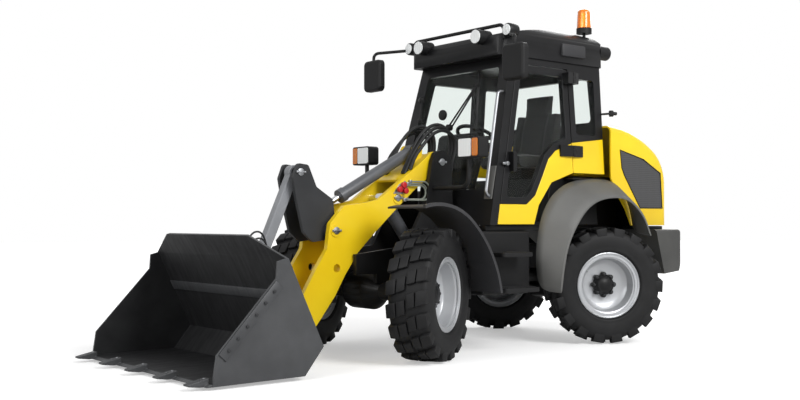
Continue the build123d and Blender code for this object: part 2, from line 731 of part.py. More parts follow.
GRILLE = [
    (-1716, 1580), (-2020, 1512), (-2252, 1400), (-2277, 1097), (-1976, 1097), (-1770, 1370), (-1738, 1430),
]
GRILLE_ROUND = 18
ARCH_CUT = [
    (HOOD_FRONT + 20, 900), (HOOD_FRONT + 20, 1375), (-1660, 1240), (-1790, 1080), (-1860, 950), (-1860, 900),
]
hollow = hood_block(HOOD_T, HOOD_FRONT + 2 * HOOD_T, HOOD_LOW - 4 * HOOD_T)
hood_skin = hood_block(0, HOOD_FRONT, HOOD_LOW) - hollow - prism(ARCH_CUT, FAR, -FAR)
side_grille = prism(GRILLE, FAR, MID, GRILLE_ROUND) + prism(GRILLE, -MID, -FAR, GRILLE_ROUND)
save("hood_grille", hood_skin & side_grille)

# Rear grille: a row of slots in the hood's tail
SLOTS = 7
SLOT_HALF = 420
SLOT_PITCH = 42
with BuildPart() as slots:
    for i in range(SLOTS):
        with Locations((HOOD_TAIL, 0, 1030 + i * SLOT_PITCH)):
            Box(4 * HOOD_T, 2 * SLOT_HALF, SLOT_PITCH / 2)
hood_shell = hood_skin - side_grille - slots.part

# Counterweight with the tow jaw in its notch
JAW_R = 16
JAW_T = 25
JAW_X = 50
JAW_Z = (660, 740)
BALLAST_HALF = 790
TAIL_LAMP = dict(y=620, z=810, width=140, height=60, depth=14)
with BuildPart() as ballast:
    with BuildSketch(side(BALLAST_HALF)):
        Polygon((-2000, 915), (TAIL_X, 915), (TAIL_X, 690), (TAIL_X + 60, 560), (-2110, 540), align=None)
    extrude(amount=2 * BALLAST_HALF)
    fillet(ballast.edges().filter_by(Axis.Z).group_by(Axis.X)[0], 60)
    fillet(ballast.faces().sort_by(Axis.Z)[-1].edges().filter_by(lambda e: e.center().X < TAIL_X + 100), 28)
    for hand in (1, -1):
        with Locations((TAIL_X, hand * TAIL_LAMP["y"], TAIL_LAMP["z"])):
            Box(2 * TAIL_LAMP["depth"], TAIL_LAMP["width"], TAIL_LAMP["height"], mode=Mode.SUBTRACT)
    with Locations((-2060, 0, 700)):
        Box(110, 2 * RAIL_HALF, 500, mode=Mode.SUBTRACT)
    with Locations((TAIL_X + 60, 0, 720)):
        Box(122, 200, 480, mode=Mode.SUBTRACT)
    for z in JAW_Z:
        with BuildSketch(Plane.XY.offset(z)):
            with Locations((TAIL_X + 67, 0)):
                Rectangle(110, 120)
            with Locations((TAIL_X + JAW_X, 0)):
                Circle(JAW_R, mode=Mode.SUBTRACT)
        extrude(amount=JAW_T)
save("counterweight", ballast.part - frame.part)
with BuildPart() as tail_lamp:
    for hand in (1, -1):
        with Locations((TAIL_X + TAIL_LAMP["depth"] / 2 + SEAT_GAP, hand * TAIL_LAMP["y"], TAIL_LAMP["z"])):
            Box(TAIL_LAMP["depth"] - 2 * SEAT_GAP, TAIL_LAMP["width"] - 2 * SEAT_GAP,
                TAIL_LAMP["height"] - 2 * SEAT_GAP)
save("tail_lamps", tail_lamp.part)

# Rear fenders, flared from the body side out to the lip
# columns: body side X and Z, lip X and Z
FLARE = [
    (-727, 440, -745, 440), (-690, 600, -768, 600), (-684, 770, -815, 790), (-741, 1038, -895, 925),
    (-866, 1195, -1035, 1094), (-1016, 1284, -1201, 1172), (-1254, 1336, -1370, 1190),
    (-1563, 1330, -1533, 1186), (-1700, 1270, -1672, 1115), (-1810, 1160, -1787, 1000),
    (-1860, 1000, -1826, 909), (-1880, 880, -1850, 870),
]
FLARE_C = (-1280, 300)


def flare(shrink, reach):
    """Solid tunnel between body side and lip, its outline drawn towards a centre."""
    with BuildPart() as block:
        for y, ix in ((FENDER_IN - reach, 0), (FENDER_OUT + reach, 2)):
            with BuildSketch(side(y)):
                pts = []
                for row in FLARE:
                    dx = row[ix] - FLARE_C[0]
                    dz = row[ix + 1] - FLARE_C[1]
                    k = 1 - shrink / hypot(dx, dz)
                    pts.append((FLARE_C[0] + dx * k, FLARE_C[1] + dz * k))
                Polygon(*pts, (pts[-1][0], 300), (pts[0][0], 300), align=None)
        loft(ruled=True)
    return block.part


with BuildPart() as below:
    with Locations((-1300, 760, 100)):
        Box(2000, 600, 680)
    with Locations((-1900, 760, 600)):
        Box(700, 600, 552)
with BuildPart() as shelf:
    with Locations((-1300, (540 + FENDER_IN + 6) / 2, 1324)):
        Box(380, FENDER_IN + 6 - 540, FENDER_T)
left_flare = flare(0, 0) - flare(FENDER_T, 0.01) - below.part + (shelf.part - cab_floor - flare(0, 0))
save("rear_fenders", left_flare + mirror(left_flare, Plane.XZ))

# Front fenders: an arc behind and over each front wheel, with a raised outer rim
# columns: X from the axle, Z from the hub
FRONT_ARC = [(138, 615), (-60, 627), (-271, 540), (-440, 356), (-584, -5)]
RIM_RISE = 1.018


def fender_arc(scale):
    """Points of the fender's arc drawn nearer to or farther from the axle."""
    return [(FRONT_X + x * scale, HUB_Z + z * scale) for x, z in FRONT_ARC]


with BuildPart() as guard:
    for y, depth, rise in ((FENDER_OUT, FENDER_OUT - 440, 1), (FENDER_OUT, 26, RIM_RISE)):
        outer = fender_arc(rise)
        inner = fender_arc(0.98)
        with BuildSketch(side(y)):
            with BuildLine():
                ThreePointArc(outer[0], outer[1], outer[2])
                ThreePointArc(outer[2], outer[3], outer[4])
                Line(outer[4], inner[4])
                ThreePointArc(inner[4], inner[3], inner[2])
                ThreePointArc(inner[2], inner[1], inner[0])
                Line(inner[0], outer[0])
            make_face()
        extrude(amount=depth)
    with Locations((FRONT_X - 532, (RAIL_HALF + 441) / 2, 700)):
        Box(50, 441 - RAIL_HALF, 60)
save("front_fenders", guard.part + mirror(guard.part, Plane.XZ))

# Side tanks with two steps each
TANK_HALF = 620
with BuildPart() as tank:
    with Locations((-410, (RAIL_HALF + TANK_HALF) / 2, 670)):
        Box(500, TANK_HALF - RAIL_HALF, 480)
save("side_tanks", tank.part + mirror(tank.part, Plane.XZ))
# columns: rear X, front X, Z, reach beyond the tank
STEPS = [(-545, -175, 475, 230), (-525, -205, 735, 180)]
with BuildPart() as step:
    for x0, x1, z, reach in STEPS:
        with Locations(((x0 + x1) / 2, TANK_HALF + reach / 2, z)):
            Box(x1 - x0, reach, 34)
    fillet(step.edges().filter_by(Axis.Z).filter_by(lambda e: e.center().Y > TANK_HALF + 90), 40)
save("steps", step.part + mirror(step.part, Plane.XZ))

# Headlamps on bent stalks from the mast, each with a clear and an amber lens
LAMP = dict(x=20, y=656, z=1525, width=224, height=152, depth=110)
LENS_T = 8
STALK_X = -20
STALK_R = 17
with BuildPart() as lamp:
    with Locations((LAMP["x"] - LAMP["depth"] / 2, LAMP["y"], LAMP["z"])):
        Box(LAMP["depth"], LAMP["width"], LAMP["height"])
    fillet(lamp.edges().filter_by(Axis.X), 22)
    fillet(lamp.faces().sort_by(Axis.X)[0].edges(), 18)
    add(tube([(STALK_X, RAIL_HALF, 1235), (STALK_X, 621, 1235), (STALK_X, 621, LAMP["z"])], STALK_R, 80))
save("headlamps", lamp.part + mirror(lamp.part, Plane.XZ))
with BuildPart() as clear:
    with Locations((LAMP["x"] + LENS_T / 2, LAMP["y"] - 34, LAMP["z"])):
        Box(LENS_T, 134, 130)
    fillet(clear.edges().filter_by(Axis.X), 14)
with BuildPart() as amber:
    with Locations((LAMP["x"] + LENS_T / 2, LAMP["y"] + 72, LAMP["z"])):
        Box(LENS_T, 62, 130)
    fillet(amber.edges().filter_by(Axis.X), 14)

# Mirrors on arms from the roof's front corners
MIRROR = dict(x=-265, y=850, width=228, height=268, depth=60)
MIRROR_ARM_R = 13
# columns: side, height of the mirror's centre
MIRRORS = [(1, 2158), (-1, 2232)]
mirror_set = []
for hand, z in MIRRORS:
    with BuildPart() as head:
        with Locations((MIRROR["x"], hand * MIRROR["y"], z)):
            Box(MIRROR["depth"], MIRROR["width"], MIRROR["height"])
        fillet(head.edges().filter_by(Axis.X), 42)
        fillet(head.faces().sort_by(Axis.X)[-1].edges(), 22)
        top = z + MIRROR["height"] / 2
        add(tube([(-560, hand * 480, 2450), (MIRROR["x"], hand * MIRROR["y"], top + 60),
                  (MIRROR["x"], hand * MIRROR["y"], z)], MIRROR_ARM_R, 45))
    mirror_set.append(head.part - roof.part)
save("mirrors", mirror_set[0] + mirror_set[1])

# Beacon on its stem, with an amber dome
BEACON = dict(x=-1500, y=440, foot=2480, seat=2556, base=2602, top=2760, r=64)
with BuildPart() as beacon:
    with BuildSketch(Plane.XY.offset(BEACON["foot"])):
        with Locations((BEACON["x"], BEACON["y"])):
            Circle(13)
    extrude(amount=BEACON["seat"] - BEACON["foot"])
    with BuildSketch(Plane.XY.offset(BEACON["seat"])):
        with Locations((BEACON["x"], BEACON["y"])):
            Circle(BEACON["r"])
    extrude(amount=BEACON["base"] - BEACON["seat"])
save("beacon", beacon.part - roof.part)
with BuildPart() as dome:
    with BuildSketch(Plane.XY.offset(BEACON["base"])):
        with Locations((BEACON["x"], BEACON["y"])):
            Circle(BEACON["r"] - 4)
    extrude(amount=BEACON["top"] - BEACON["base"], taper=3)
    fillet(dome.edges().group_by(Axis.Z)[-1], 26)
save("amber_lenses", amber.part + mirror(amber.part, Plane.XZ) + dome.part)

# Work lamps on the roof and the light rail above its front edge
# columns: way it shines along X, X of its face, Y, Z
WORK_LAMPS = [(1, -345, 345, 2420), (1, -345, -345, 2420), (-1, -1705, 500, 2400), (-1, -1705, -500, 2400)]
WORK_LAMP_R = 58
WORK_LAMP_L = 130
RAIL_BAR = dict(x=-462, z=2502, half=540, r=14)
rail_foot = RAIL_BAR["z"] - 110
with BuildPart() as lamps:
    for way, x, y, z in WORK_LAMPS:
        with BuildSketch(Plane.YZ.offset(x)):
            with Locations((y, z)):
                Circle(WORK_LAMP_R)
        extrude(amount=-way * WORK_LAMP_L)
    rail_route = [(-RAIL_BAR["half"], rail_foot), (-RAIL_BAR["half"], RAIL_BAR["z"]),
                  (RAIL_BAR["half"], RAIL_BAR["z"]), (RAIL_BAR["half"], rail_foot)]
    add(tube([(RAIL_BAR["x"], y, z) for y, z in rail_route], RAIL_BAR["r"], 50))
save("work_lamps", lamps.part - roof.part)
with BuildPart() as lenses:
    for way, x, y, z in WORK_LAMPS:
        with BuildSketch(Plane.YZ.offset(x)):
            with Locations((y, z)):
                Circle(WORK_LAMP_R - 6)
        extrude(amount=way * LENS_T)
save("clear_lenses", clear.part + mirror(clear.part, Plane.XZ) + lenses.part)

# Grab bar along the left front pillar, its bent ends on the pillar
CAB_BLOCK = cab_shell(0)
GRAB = dict(low=1175, high=1985, inset=36, out=50, r=13)
grab_low = (cab_half(GRAB["low"]) - GRAB["inset"], GRAB["low"])
grab_high = (cab_half(GRAB["high"]) - GRAB["inset"], GRAB["high"])
grab = tube([
    (cab_front(GRAB["low"]) - 20, *grab_low), (cab_front(GRAB["low"]) + GRAB["out"], *grab_low),
    (cab_front(GRAB["high"]) + GRAB["out"], *grab_high), (cab_front(GRAB["high"]) - 20, *grab_high),
], GRAB["r"], 36)
save("grab_bar", grab - CAB_BLOCK)

# Door hinges: cab leaves with pins, door leaves between them
# columns: height, leaf length on the cab, leaf length on the door
HINGES = [(1549, 112, 152), (2140, 60, 60)]
HINGE_R = 14
HINGE_PIN_R = 8
HINGE_X = B_POST - DOOR_GAP / 2
HINGE_OUT = 23.4
HINGE_Y = cab_half(HINGES[0][0]) + HINGE_OUT
LEAF_IN = HINGE_Y - 110
with BuildPart() as cab_leaf:
    for z, cab_len, door_len in HINGES:
        with BuildSketch(Plane.XY.offset(z - 45)):
            Polygon((HINGE_X - 18, LEAF_IN), (HINGE_X - 18, HINGE_Y + 6), (HINGE_X - cab_len, HINGE_Y - 6),
                    (HINGE_X - cab_len, LEAF_IN), align=None)
        extrude(amount=90)
        for low in (-45, 15 + SIDE_GAP):
            with BuildSketch(Plane.XY.offset(z + low)):
                with Locations((HINGE_X, HINGE_Y)):
                    Circle(HINGE_R)
                Polygon((HINGE_X, HINGE_Y - 8), (HINGE_X, HINGE_Y + 8), (HINGE_X - 20, HINGE_Y + 6),
                        (HINGE_X - 20, HINGE_Y - 8), align=None)
            extrude(amount=30 - SIDE_GAP)
        with Locations((HINGE_X, HINGE_Y, z)):
            Cylinder(HINGE_PIN_R, 90)
save("door_hinges", cab_leaf.part - CAB_BLOCK)
with BuildPart() as door_leaf:
    for z, cab_len, door_len in HINGES:
        with BuildSketch(Plane.XY.offset(z - 45)):
            Polygon((HINGE_X + 18, LEAF_IN), (HINGE_X + 18, HINGE_Y + 6), (HINGE_X + door_len, HINGE_Y - 6),
                    (HINGE_X + door_len, LEAF_IN), align=None)
        extrude(amount=90)
        with BuildSketch(Plane.XY.offset(z - 15)):
            with Locations((HINGE_X, HINGE_Y)):
                Circle(HINGE_R)
            Polygon((HINGE_X, HINGE_Y - 8), (HINGE_X, HINGE_Y + 8), (HINGE_X + 20, HINGE_Y + 6),
                    (HINGE_X + 20, HINGE_Y - 8), align=None)
            with Locations((HINGE_X, HINGE_Y)):
                Circle(HINGE_PIN_R + PIN_FIT, mode=Mode.SUBTRACT)
        extrude(amount=30)
    with Locations((-480, cab_half(1440) + 5, 1440)):
        Box(36, 90, 150)
save("door_fittings", door_leaf.part - CAB_BLOCK)

# Hood hinges between the cab's rear wall and the hood's front edge
HOOD_AXIS = (-1598, 1800)
with BuildPart() as hood_lug:
    for y in (367, -335):
        with BuildSketch(side(y)):
            with Locations(HOOD_AXIS):
                Circle(14)
            Polygon((-1598, 1786), (-1598, 1814), (-1560, 1814), (-1560, 1786), align=None)
        extrude(amount=32)
    for y in (398, -335):
        with BuildSketch(side(y)):
            with Locations(HOOD_AXIS):
                Circle(HINGE_PIN_R)
        extrude(amount=63)
save("hood_hinges", hood_lug.part - CAB_BLOCK)
with BuildPart() as hood_leaf:
    for y in (398, -368):
        with BuildSketch(side(y)):
            with Locations(HOOD_AXIS):
                Circle(14)
            Polygon((-1598, 1790), (-1598, 1812), (-1650, 1796), (-1650, 1700), (-1604, 1700),
                    (-1604, 1790), align=None)
            with Locations(HOOD_AXIS):
                Circle(HINGE_PIN_R + PIN_FIT, mode=Mode.SUBTRACT)
        extrude(amount=30)
save("hood", hood_shell + hood_leaf.part)
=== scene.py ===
import json
import math

import bmesh
import bpy
from mathutils import Matrix, Vector


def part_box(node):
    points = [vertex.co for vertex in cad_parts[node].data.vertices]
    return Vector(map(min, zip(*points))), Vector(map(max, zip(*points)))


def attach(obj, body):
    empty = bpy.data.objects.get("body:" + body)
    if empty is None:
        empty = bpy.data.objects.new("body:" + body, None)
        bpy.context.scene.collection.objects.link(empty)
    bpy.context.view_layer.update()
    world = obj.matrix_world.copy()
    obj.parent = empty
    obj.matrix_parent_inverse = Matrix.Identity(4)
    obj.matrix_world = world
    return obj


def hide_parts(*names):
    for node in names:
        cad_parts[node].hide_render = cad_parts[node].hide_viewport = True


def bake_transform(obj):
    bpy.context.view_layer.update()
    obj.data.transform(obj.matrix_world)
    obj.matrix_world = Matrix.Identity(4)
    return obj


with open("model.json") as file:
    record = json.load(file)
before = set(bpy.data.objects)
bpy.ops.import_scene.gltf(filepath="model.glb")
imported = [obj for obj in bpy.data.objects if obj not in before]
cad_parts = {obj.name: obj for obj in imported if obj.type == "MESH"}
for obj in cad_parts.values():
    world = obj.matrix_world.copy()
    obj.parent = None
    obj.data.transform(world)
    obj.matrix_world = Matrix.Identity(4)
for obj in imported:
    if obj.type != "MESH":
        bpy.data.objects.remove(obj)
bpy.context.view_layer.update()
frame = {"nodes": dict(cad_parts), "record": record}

NODES = frame["nodes"]
BODY_OF = {node: body for body, nodes in frame["record"]["behaviour"]["bodies"].items() for node in nodes}
MM = 0.001

# Camera of the photograph, in metres and degrees
CAMERA_AT = (5.2238, 6.3075, 0.9834)
CAMERA_YAW = -128.918
CAMERA_PITCH = 1.164
CAMERA_LENS = 47.257

# Wheel sizes in millimetres, as in the solids
TYRE_R = 470
TYRE_HALF = 154
LUGS = 18
RIM_SEAT_R = 228.5
RIM_HALF = 125
HUB_R = 84
STEER_REST = 28
# columns: wheel, turn of its spindle in degrees
STATIONS = [
    ("front_left", STEER_REST), ("front_right", STEER_REST + 180),
    ("rear_left", -STEER_REST), ("rear_right", 180 - STEER_REST),
]

# Cab front wall: X and Z of its foot and its top, in millimetres
CAB_FOOT = (-225, 955)
CAB_HEAD = (-545, 2270)

# Vertices closer than this, in metres, are one
WELD = 2e-5


# Small helpers

def linear(hex_code):
    """Linear colour of an sRGB hex value such as 'f5d414'."""
    values = [int(hex_code[i:i + 2], 16) / 255 for i in (0, 2, 4)]
    return [v / 12.92 if v <= 0.04045 else ((v + 0.055) / 1.055) ** 2.4 for v in values] + [1.0]


def add(tree, kind, sockets=None, **settings):
    """Adds a node with its settings; a socket's value is set, and a socket given as a value is linked."""
    made = tree.nodes.new(kind)
    for name, value in settings.items():
        setattr(made, name, value)
    for name, value in (sockets or {}).items():
        if isinstance(value, bpy.types.NodeSocket):
            tree.links.new(value, made.inputs[name])
        else:
            made.inputs[name].default_value = value
    return made


def per_metre(size_mm):
    """Texture scale of a pattern whose features are about that many millimetres."""
    return 1000.0 / size_mm


def surface(name, **sockets):
    """New material with its shader set; returns the material, its tree, the shader and Object coordinates."""
    made = bpy.data.materials.new(name)
    made.use_nodes = True
    tree = made.node_tree
    shader = tree.nodes["Principled BSDF"]
    for key, value in sockets.items():
        shader.inputs[key.replace("_", " ")].default_value = value
    place = tree.nodes.new("ShaderNodeTexCoord").outputs["Object"]
    return made, tree, shader, place


def two_tone(tree, factor, low, high, start=0.3, end=0.7):
    """Colour between two hex values along a factor."""
    tint = add(tree, "ShaderNodeValToRGB", {"Fac": factor})
    for element, position, colour in zip(tint.color_ramp.elements, (start, end), (low, high)):
        element.position = position
        element.color = linear(colour)
    return tint.outputs["Color"]


def in_metres(point):
    """Point given in millimetres, in metres."""
    return Vector([c * MM for c in point])


def cab_front(z):
    """X of the cab's front wall at a height, in millimetres."""
    share = (z - CAB_FOOT[1]) / (CAB_HEAD[1] - CAB_FOOT[1])
    return CAB_FOOT[0] + (CAB_HEAD[0] - CAB_FOOT[0]) * share


def piece(name, shape, paint, body, sharp=38):
    """Makes a finished mesh a piece that rides on a body."""
    if isinstance(shape, bmesh.types.BMesh):
        mesh = bpy.data.meshes.new(name)
        shape.to_mesh(mesh)
        shape.free()
    else:
        mesh = shape
        mesh.name = name
    mesh.materials.clear()
    mesh.materials.append(paint)
    mesh.shade_smooth()
    mesh.set_sharp_from_angle(angle=math.radians(sharp))
    made = bpy.data.objects.new(name, mesh)
    bpy.context.scene.collection.objects.link(made)
    if body:
        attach(made, body)
    return made


def once(items):
    """Items in their order, each once."""
    return list(dict.fromkeys(items))


def round_off(shape, edges, offset, segments=2):
    """Rounds edges by an offset in millimetres."""
    bmesh.ops.bevel(shape, geom=edges, offset=offset * MM, offset_type="OFFSET", affect="EDGES",
                    segments=segments, profile=0.5, material=-1, clamp_overlap=True)


def block(shape, low, high, soften=0):
    """Adds a block between two corners in millimetres, its edges rounded."""
    verts = bmesh.ops.create_cube(shape, size=1.0)["verts"]
    bmesh.ops.scale(shape, vec=[(h - l) * MM for l, h in zip(low, high)], verts=verts)
    bmesh.ops.translate(shape, vec=[(h + l) / 2 * MM for l, h in zip(low, high)], verts=verts)
    if soften:
        round_off(shape, once(e for v in verts for e in v.link_edges), soften)


def pair_of_blocks(shape, low, high, soften):
    """Adds a block on the left side and its mirror image on the right."""
    block(shape, low, high, soften)
    block(shape, (low[0], -high[1], low[2]), (high[0], -low[1], high[2]), soften)


def along(start, end):
    """Matrix midway between two points in millimetres, Z axis along them, and the distance in metres."""
    a = in_metres(start)
    b = in_metres(end)
    turn = (b - a).to_track_quat("Z", "Y").to_matrix().to_4x4()
    return Matrix.Translation((a + b) / 2) @ turn, (b - a).length


def bar(shape, start, end, radius, soften=0, sides=24):
    """Adds a round bar between two points in millimetres, its ends rounded."""
    place, length = along(start, end)
    made = bmesh.ops.create_cone(shape, cap_ends=True, segments=sides, radius1=radius * MM,
                                 radius2=radius * MM, depth=length, matrix=place)
    if soften:
        edges = once(e for v in made["verts"] for e in v.link_edges)
        round_off(shape, [e for e in edges if any(len(f.verts) > 4 for f in e.link_faces)], soften)


def turned(shape, profile, steps, place=Matrix(), closed=True):
    """Spins a profile of radius and height pairs, in millimetres, about Y and puts it in place."""
    verts = [shape.verts.new((radius * MM, height * MM, 0)) for radius, height in profile]
    edges = [shape.edges.new(pair) for pair in zip(verts, verts[1:])]
    if closed:
        edges.append(shape.edges.new((verts[-1], verts[0])))
    before = set(shape.verts) - set(verts)
    bmesh.ops.spin(shape, geom=verts + edges, cent=(0, 0, 0), axis=(0, 1, 0), angle=math.tau, steps=steps,
                   use_merge=True)
    fresh = [v for v in shape.verts if v not in before]
    bmesh.ops.remove_doubles(shape, verts=fresh, dist=1e-6)
    fresh = [v for v in shape.verts if v not in before]
    bmesh.ops.recalc_face_normals(shape, faces=once(f for v in fresh for f in v.link_faces))
    bmesh.ops.transform(shape, matrix=place, verts=fresh)


def plate(shape, outline, thickness, lift, soften=0):
    """Adds a plate: an outline of points in millimetres, thickened along a direction."""
    face = shape.faces.new([shape.verts.new(in_metres(p)) for p in outline])
    grown = bmesh.ops.extrude_face_region(shape, geom=[face])["geom"]
    verts = [g for g in grown if isinstance(g, bmesh.types.BMVert)]
    bmesh.ops.translate(shape, vec=Vector(lift).normalized() * thickness * MM, verts=verts)
    faces = once([face] + [f for v in verts for f in v.link_faces])
    bmesh.ops.recalc_face_normals(shape, faces=faces)
    if soften:
        round_off(shape, once(e for f in faces for e in f.edges), soften)


def line_through(name, kind, route):
    """New curve with one line of that kind through points in millimetres; returns both."""
    curve = bpy.data.curves.new(name, "CURVE")
    curve.dimensions = "3D"
    line = curve.splines.new(kind)
    line.points.add(len(route) - 1)
    for point, at in zip(line.points, route):
        point.co = (*in_metres(at), 1)
    return curve, line


def as_mesh(curve):
    """Mesh of a curve as it is drawn."""
    holder = bpy.data.objects.new(curve.name + "_line", curve)
    bpy.context.scene.collection.objects.link(holder)
    mesh = bpy.data.meshes.new_from_object(holder)
    bpy.data.objects.remove(holder)
    return mesh


def hose(name, route, diameter, paint, body):
    """Round hose along a smooth line by control points in millimetres; returns it and its centre line."""
    curve, line = line_through(name, "NURBS", route)
    line.order_u = 3
    line.use_endpoint_u = True
    line.resolution_u = 10
    centre = [v.co.copy() for v in as_mesh(curve).vertices]
    curve.bevel_depth = diameter / 2 * MM
    curve.bevel_resolution = 3
    curve.use_fill_caps = True
    return piece(name, as_mesh(curve), paint, body), centre


# Materials

def yellow_enamel():
    # Two-pack enamel sprayed on steel: glossy with a soft orange peel, a little dust dulls it in patches
    made, tree, shader, place = surface("yellow_enamel", IOR=1.5, Coat_Weight=0.3, Coat_Roughness=0.15)
    patch = add(tree, "ShaderNodeTexNoise", {"Vector": place, "Scale": per_metre(420), "Detail": 5.0})
    tree.links.new(two_tone(tree, patch.outputs["Fac"], "eec60c", "f7d414"), shader.inputs["Base Color"])
    dull = add(tree, "ShaderNodeMapRange", {"Value": patch.outputs["Fac"], "To Min": 0.3, "To Max": 0.46})
    tree.links.new(dull.outputs["Result"], shader.inputs["Roughness"])
    # Orange peel is about 2 mm across; drawn at 9 mm so that it shows
    peel = add(tree, "ShaderNodeTexNoise", {"Vector": place, "Scale": per_metre(9), "Detail": 1.0})
    bump = add(tree, "ShaderNodeBump", {"Height": peel.outputs["Fac"], "Strength": 0.04, "Distance": 0.001})
    tree.links.new(bump.outputs["Normal"], shader.inputs["Normal"])
    return made


def coat(name, low, high, rough, grain_mm, strength, gloss=0.5):
    # Powder coat, paint or moulded skin: satin, finely pebbled, slightly uneven in shade
    made, tree, shader, place = surface(name, IOR=1.48, Specular_IOR_Level=gloss)
    patch = add(tree, "ShaderNodeTexNoise", {"Vector": place, "Scale": per_metre(300), "Detail": 6.0})
    tree.links.new(two_tone(tree, patch.outputs["Fac"], low, high), shader.inputs["Base Color"])
    dull = add(tree, "ShaderNodeMapRange", {"Value": patch.outputs["Fac"], "To Min": rough - 0.06,
                                            "To Max": rough + 0.08})
    tree.links.new(dull.outputs["Result"], shader.inputs["Roughness"])
    pebble = add(tree, "ShaderNodeTexNoise", {"Vector": place, "Scale": per_metre(grain_mm), "Detail": 2.0})
    bump = add(tree, "ShaderNodeBump", {"Height": pebble.outputs["Fac"], "Strength": strength,
                                        "Distance": 0.001})
    tree.links.new(bump.outputs["Normal"], shader.inputs["Normal"])
    return made


def worn_steel(name, low, high, rough):
    # Thinly painted plate that has slid through gravel: streaks run down it, the bare ones shine a little
    made, tree, shader, place = surface(name, IOR=1.5, Metallic=0.25)
    stretch = add(tree, "ShaderNodeMapping", {"Vector": place, "Scale": (3.0, 14.0, 3.0)})
    streak = add(tree, "ShaderNodeTexNoise", {"Vector": stretch.outputs["Vector"], "Scale": per_metre(520),
                                              "Detail": 7.0})
    tree.links.new(two_tone(tree, streak.outputs["Fac"], low, high, 0.35, 0.75), shader.inputs["Base Color"])
    shine = add(tree, "ShaderNodeMapRange", {"Value": streak.outputs["Fac"], "To Min": rough + 0.1,
                                             "To Max": rough - 0.12})
    tree.links.new(shine.outputs["Result"], shader.inputs["Roughness"])
    bump = add(tree, "ShaderNodeBump", {"Height": streak.outputs["Fac"], "Strength": 0.12, "Distance": 0.002})
    tree.links.new(bump.outputs["Normal"], shader.inputs["Normal"])
    return made


def polished(name, colour, rough, metallic):
    # Metal or metallic paint: bright, its polish broken by fine handling marks
    made, tree, shader, place = surface(name, Base_Color=linear(colour), Metallic=metallic)
    marks = add(tree, "ShaderNodeTexNoise", {"Vector": place, "Scale": per_metre(60), "Detail": 6.0})
    dull = add(tree, "ShaderNodeMapRange", {"Value": marks.outputs["Fac"], "To Min": rough - 0.06,
                                            "To Max": rough + 0.1})
    tree.links.new(dull.outputs["Result"], shader.inputs["Roughness"])
    return made


def lens(name, colour, rough, clear):
    # Moulded acrylic lens over a reflector: its colour glows through, with upright flutes on its face
    made, tree, shader, place = surface(name, Base_Color=linear(colour), Roughness=rough, IOR=1.49,
                                        Transmission_Weight=clear, Coat_Weight=0.5, Coat_Roughness=0.05)
    # Flutes are 6 mm wide; drawn at 14 mm so that they show
    flute = add(tree, "ShaderNodeTexWave", {"Vector": place, "Scale": per_metre(14) / math.tau},
                bands_direction="Y")
    bump = add(tree, "ShaderNodeBump", {"Height": flute.outputs["Fac"], "Strength": 0.35, "Distance": 0.003})
    tree.links.new(bump.outputs["Normal"], shader.inputs["Normal"])
    return made


def window_glass():
    # Toughened float glass: clear, a faint green-grey in its body, a film of dust breaks its gloss
    made, tree, shader, place = surface("window_glass", Base_Color=linear("f3f7f5"), IOR=1.12,
                                        Transmission_Weight=1.0)
    film = add(tree, "ShaderNodeTexNoise", {"Vector": place, "Scale": per_metre(240), "Detail": 4.0})
    dull = add(tree, "ShaderNodeMapRange", {"Value": film.outputs["Fac"], "To Min": 0.0, "To Max": 0.03})
    tree.links.new(dull.outputs["Result"], shader.inputs["Roughness"])
    return made


def tyre_rubber():
    # Vulcanised rubber: near black, dull, a breath of grey dust in broad patches, fine moulded pores
    made, tree, shader, place = surface("tyre_rubber", IOR=1.5, Specular_IOR_Level=0.3)
    dust = add(tree, "ShaderNodeTexNoise", {"Vector": place, "Scale": per_metre(160), "Detail": 8.0})
    tree.links.new(two_tone(tree, dust.outputs["Fac"], "0e0e0f", "1e1e1f", 0.35, 0.75),
                   shader.inputs["Base Color"])
    dull = add(tree, "ShaderNodeMapRange", {"Value": dust.outputs["Fac"], "To Min": 0.5, "To Max": 0.72})
    tree.links.new(dull.outputs["Result"], shader.inputs["Roughness"])
    pore = add(tree, "ShaderNodeTexNoise", {"Vector": place, "Scale": per_metre(5), "Detail": 3.0})
    bump = add(tree, "ShaderNodeBump", {"Height": pore.outputs["Fac"], "Strength": 0.15, "Distance": 0.001})
    tree.links.new(bump.outputs["Normal"], shader.inputs["Normal"])
    return made


def seat_fabric():
    # Woven polyester over foam: charcoal, no gloss, a 3 mm rib drawn at 7 mm so that it shows
    made, tree, shader, place = surface("woven_polyester", Roughness=0.92, Sheen_Weight=0.25)
    rib = add(tree, "ShaderNodeTexWave", {"Vector": place, "Scale": per_metre(7) / math.tau,
                                          "Distortion": 1.0}, bands_direction="Y")
    tree.links.new(two_tone(tree, rib.outputs["Fac"], "151516", "262628", 0.2, 0.8),
                   shader.inputs["Base Color"])
    bump = add(tree, "ShaderNodeBump", {"Height": rib.outputs["Fac"], "Strength": 0.3, "Distance": 0.002})
    tree.links.new(bump.outputs["Normal"], shader.inputs["Normal"])
    return made


def pierced_sheet():
    # Perforated steel sheet, painted grey: 6 mm holes drawn 16 mm apart read as a fine even grain
    made, tree, shader, place = surface("perforated_grille_sheet", IOR=1.5, Roughness=0.55)
    holes = add(tree, "ShaderNodeTexVoronoi", {"Vector": place, "Scale": per_metre(16), "Randomness": 0.0})
    tree.links.new(two_tone(tree, holes.outputs["Distance"], "2c2c2d", "49494a", 0.18, 0.3),
                   shader.inputs["Base Color"])
    bump = add(tree, "ShaderNodeBump", {"Height": holes.outputs["Distance"], "Strength": 0.4,
                                        "Distance": 0.003})
    tree.links.new(bump.outputs["Normal"], shader.inputs["Normal"])
    return made


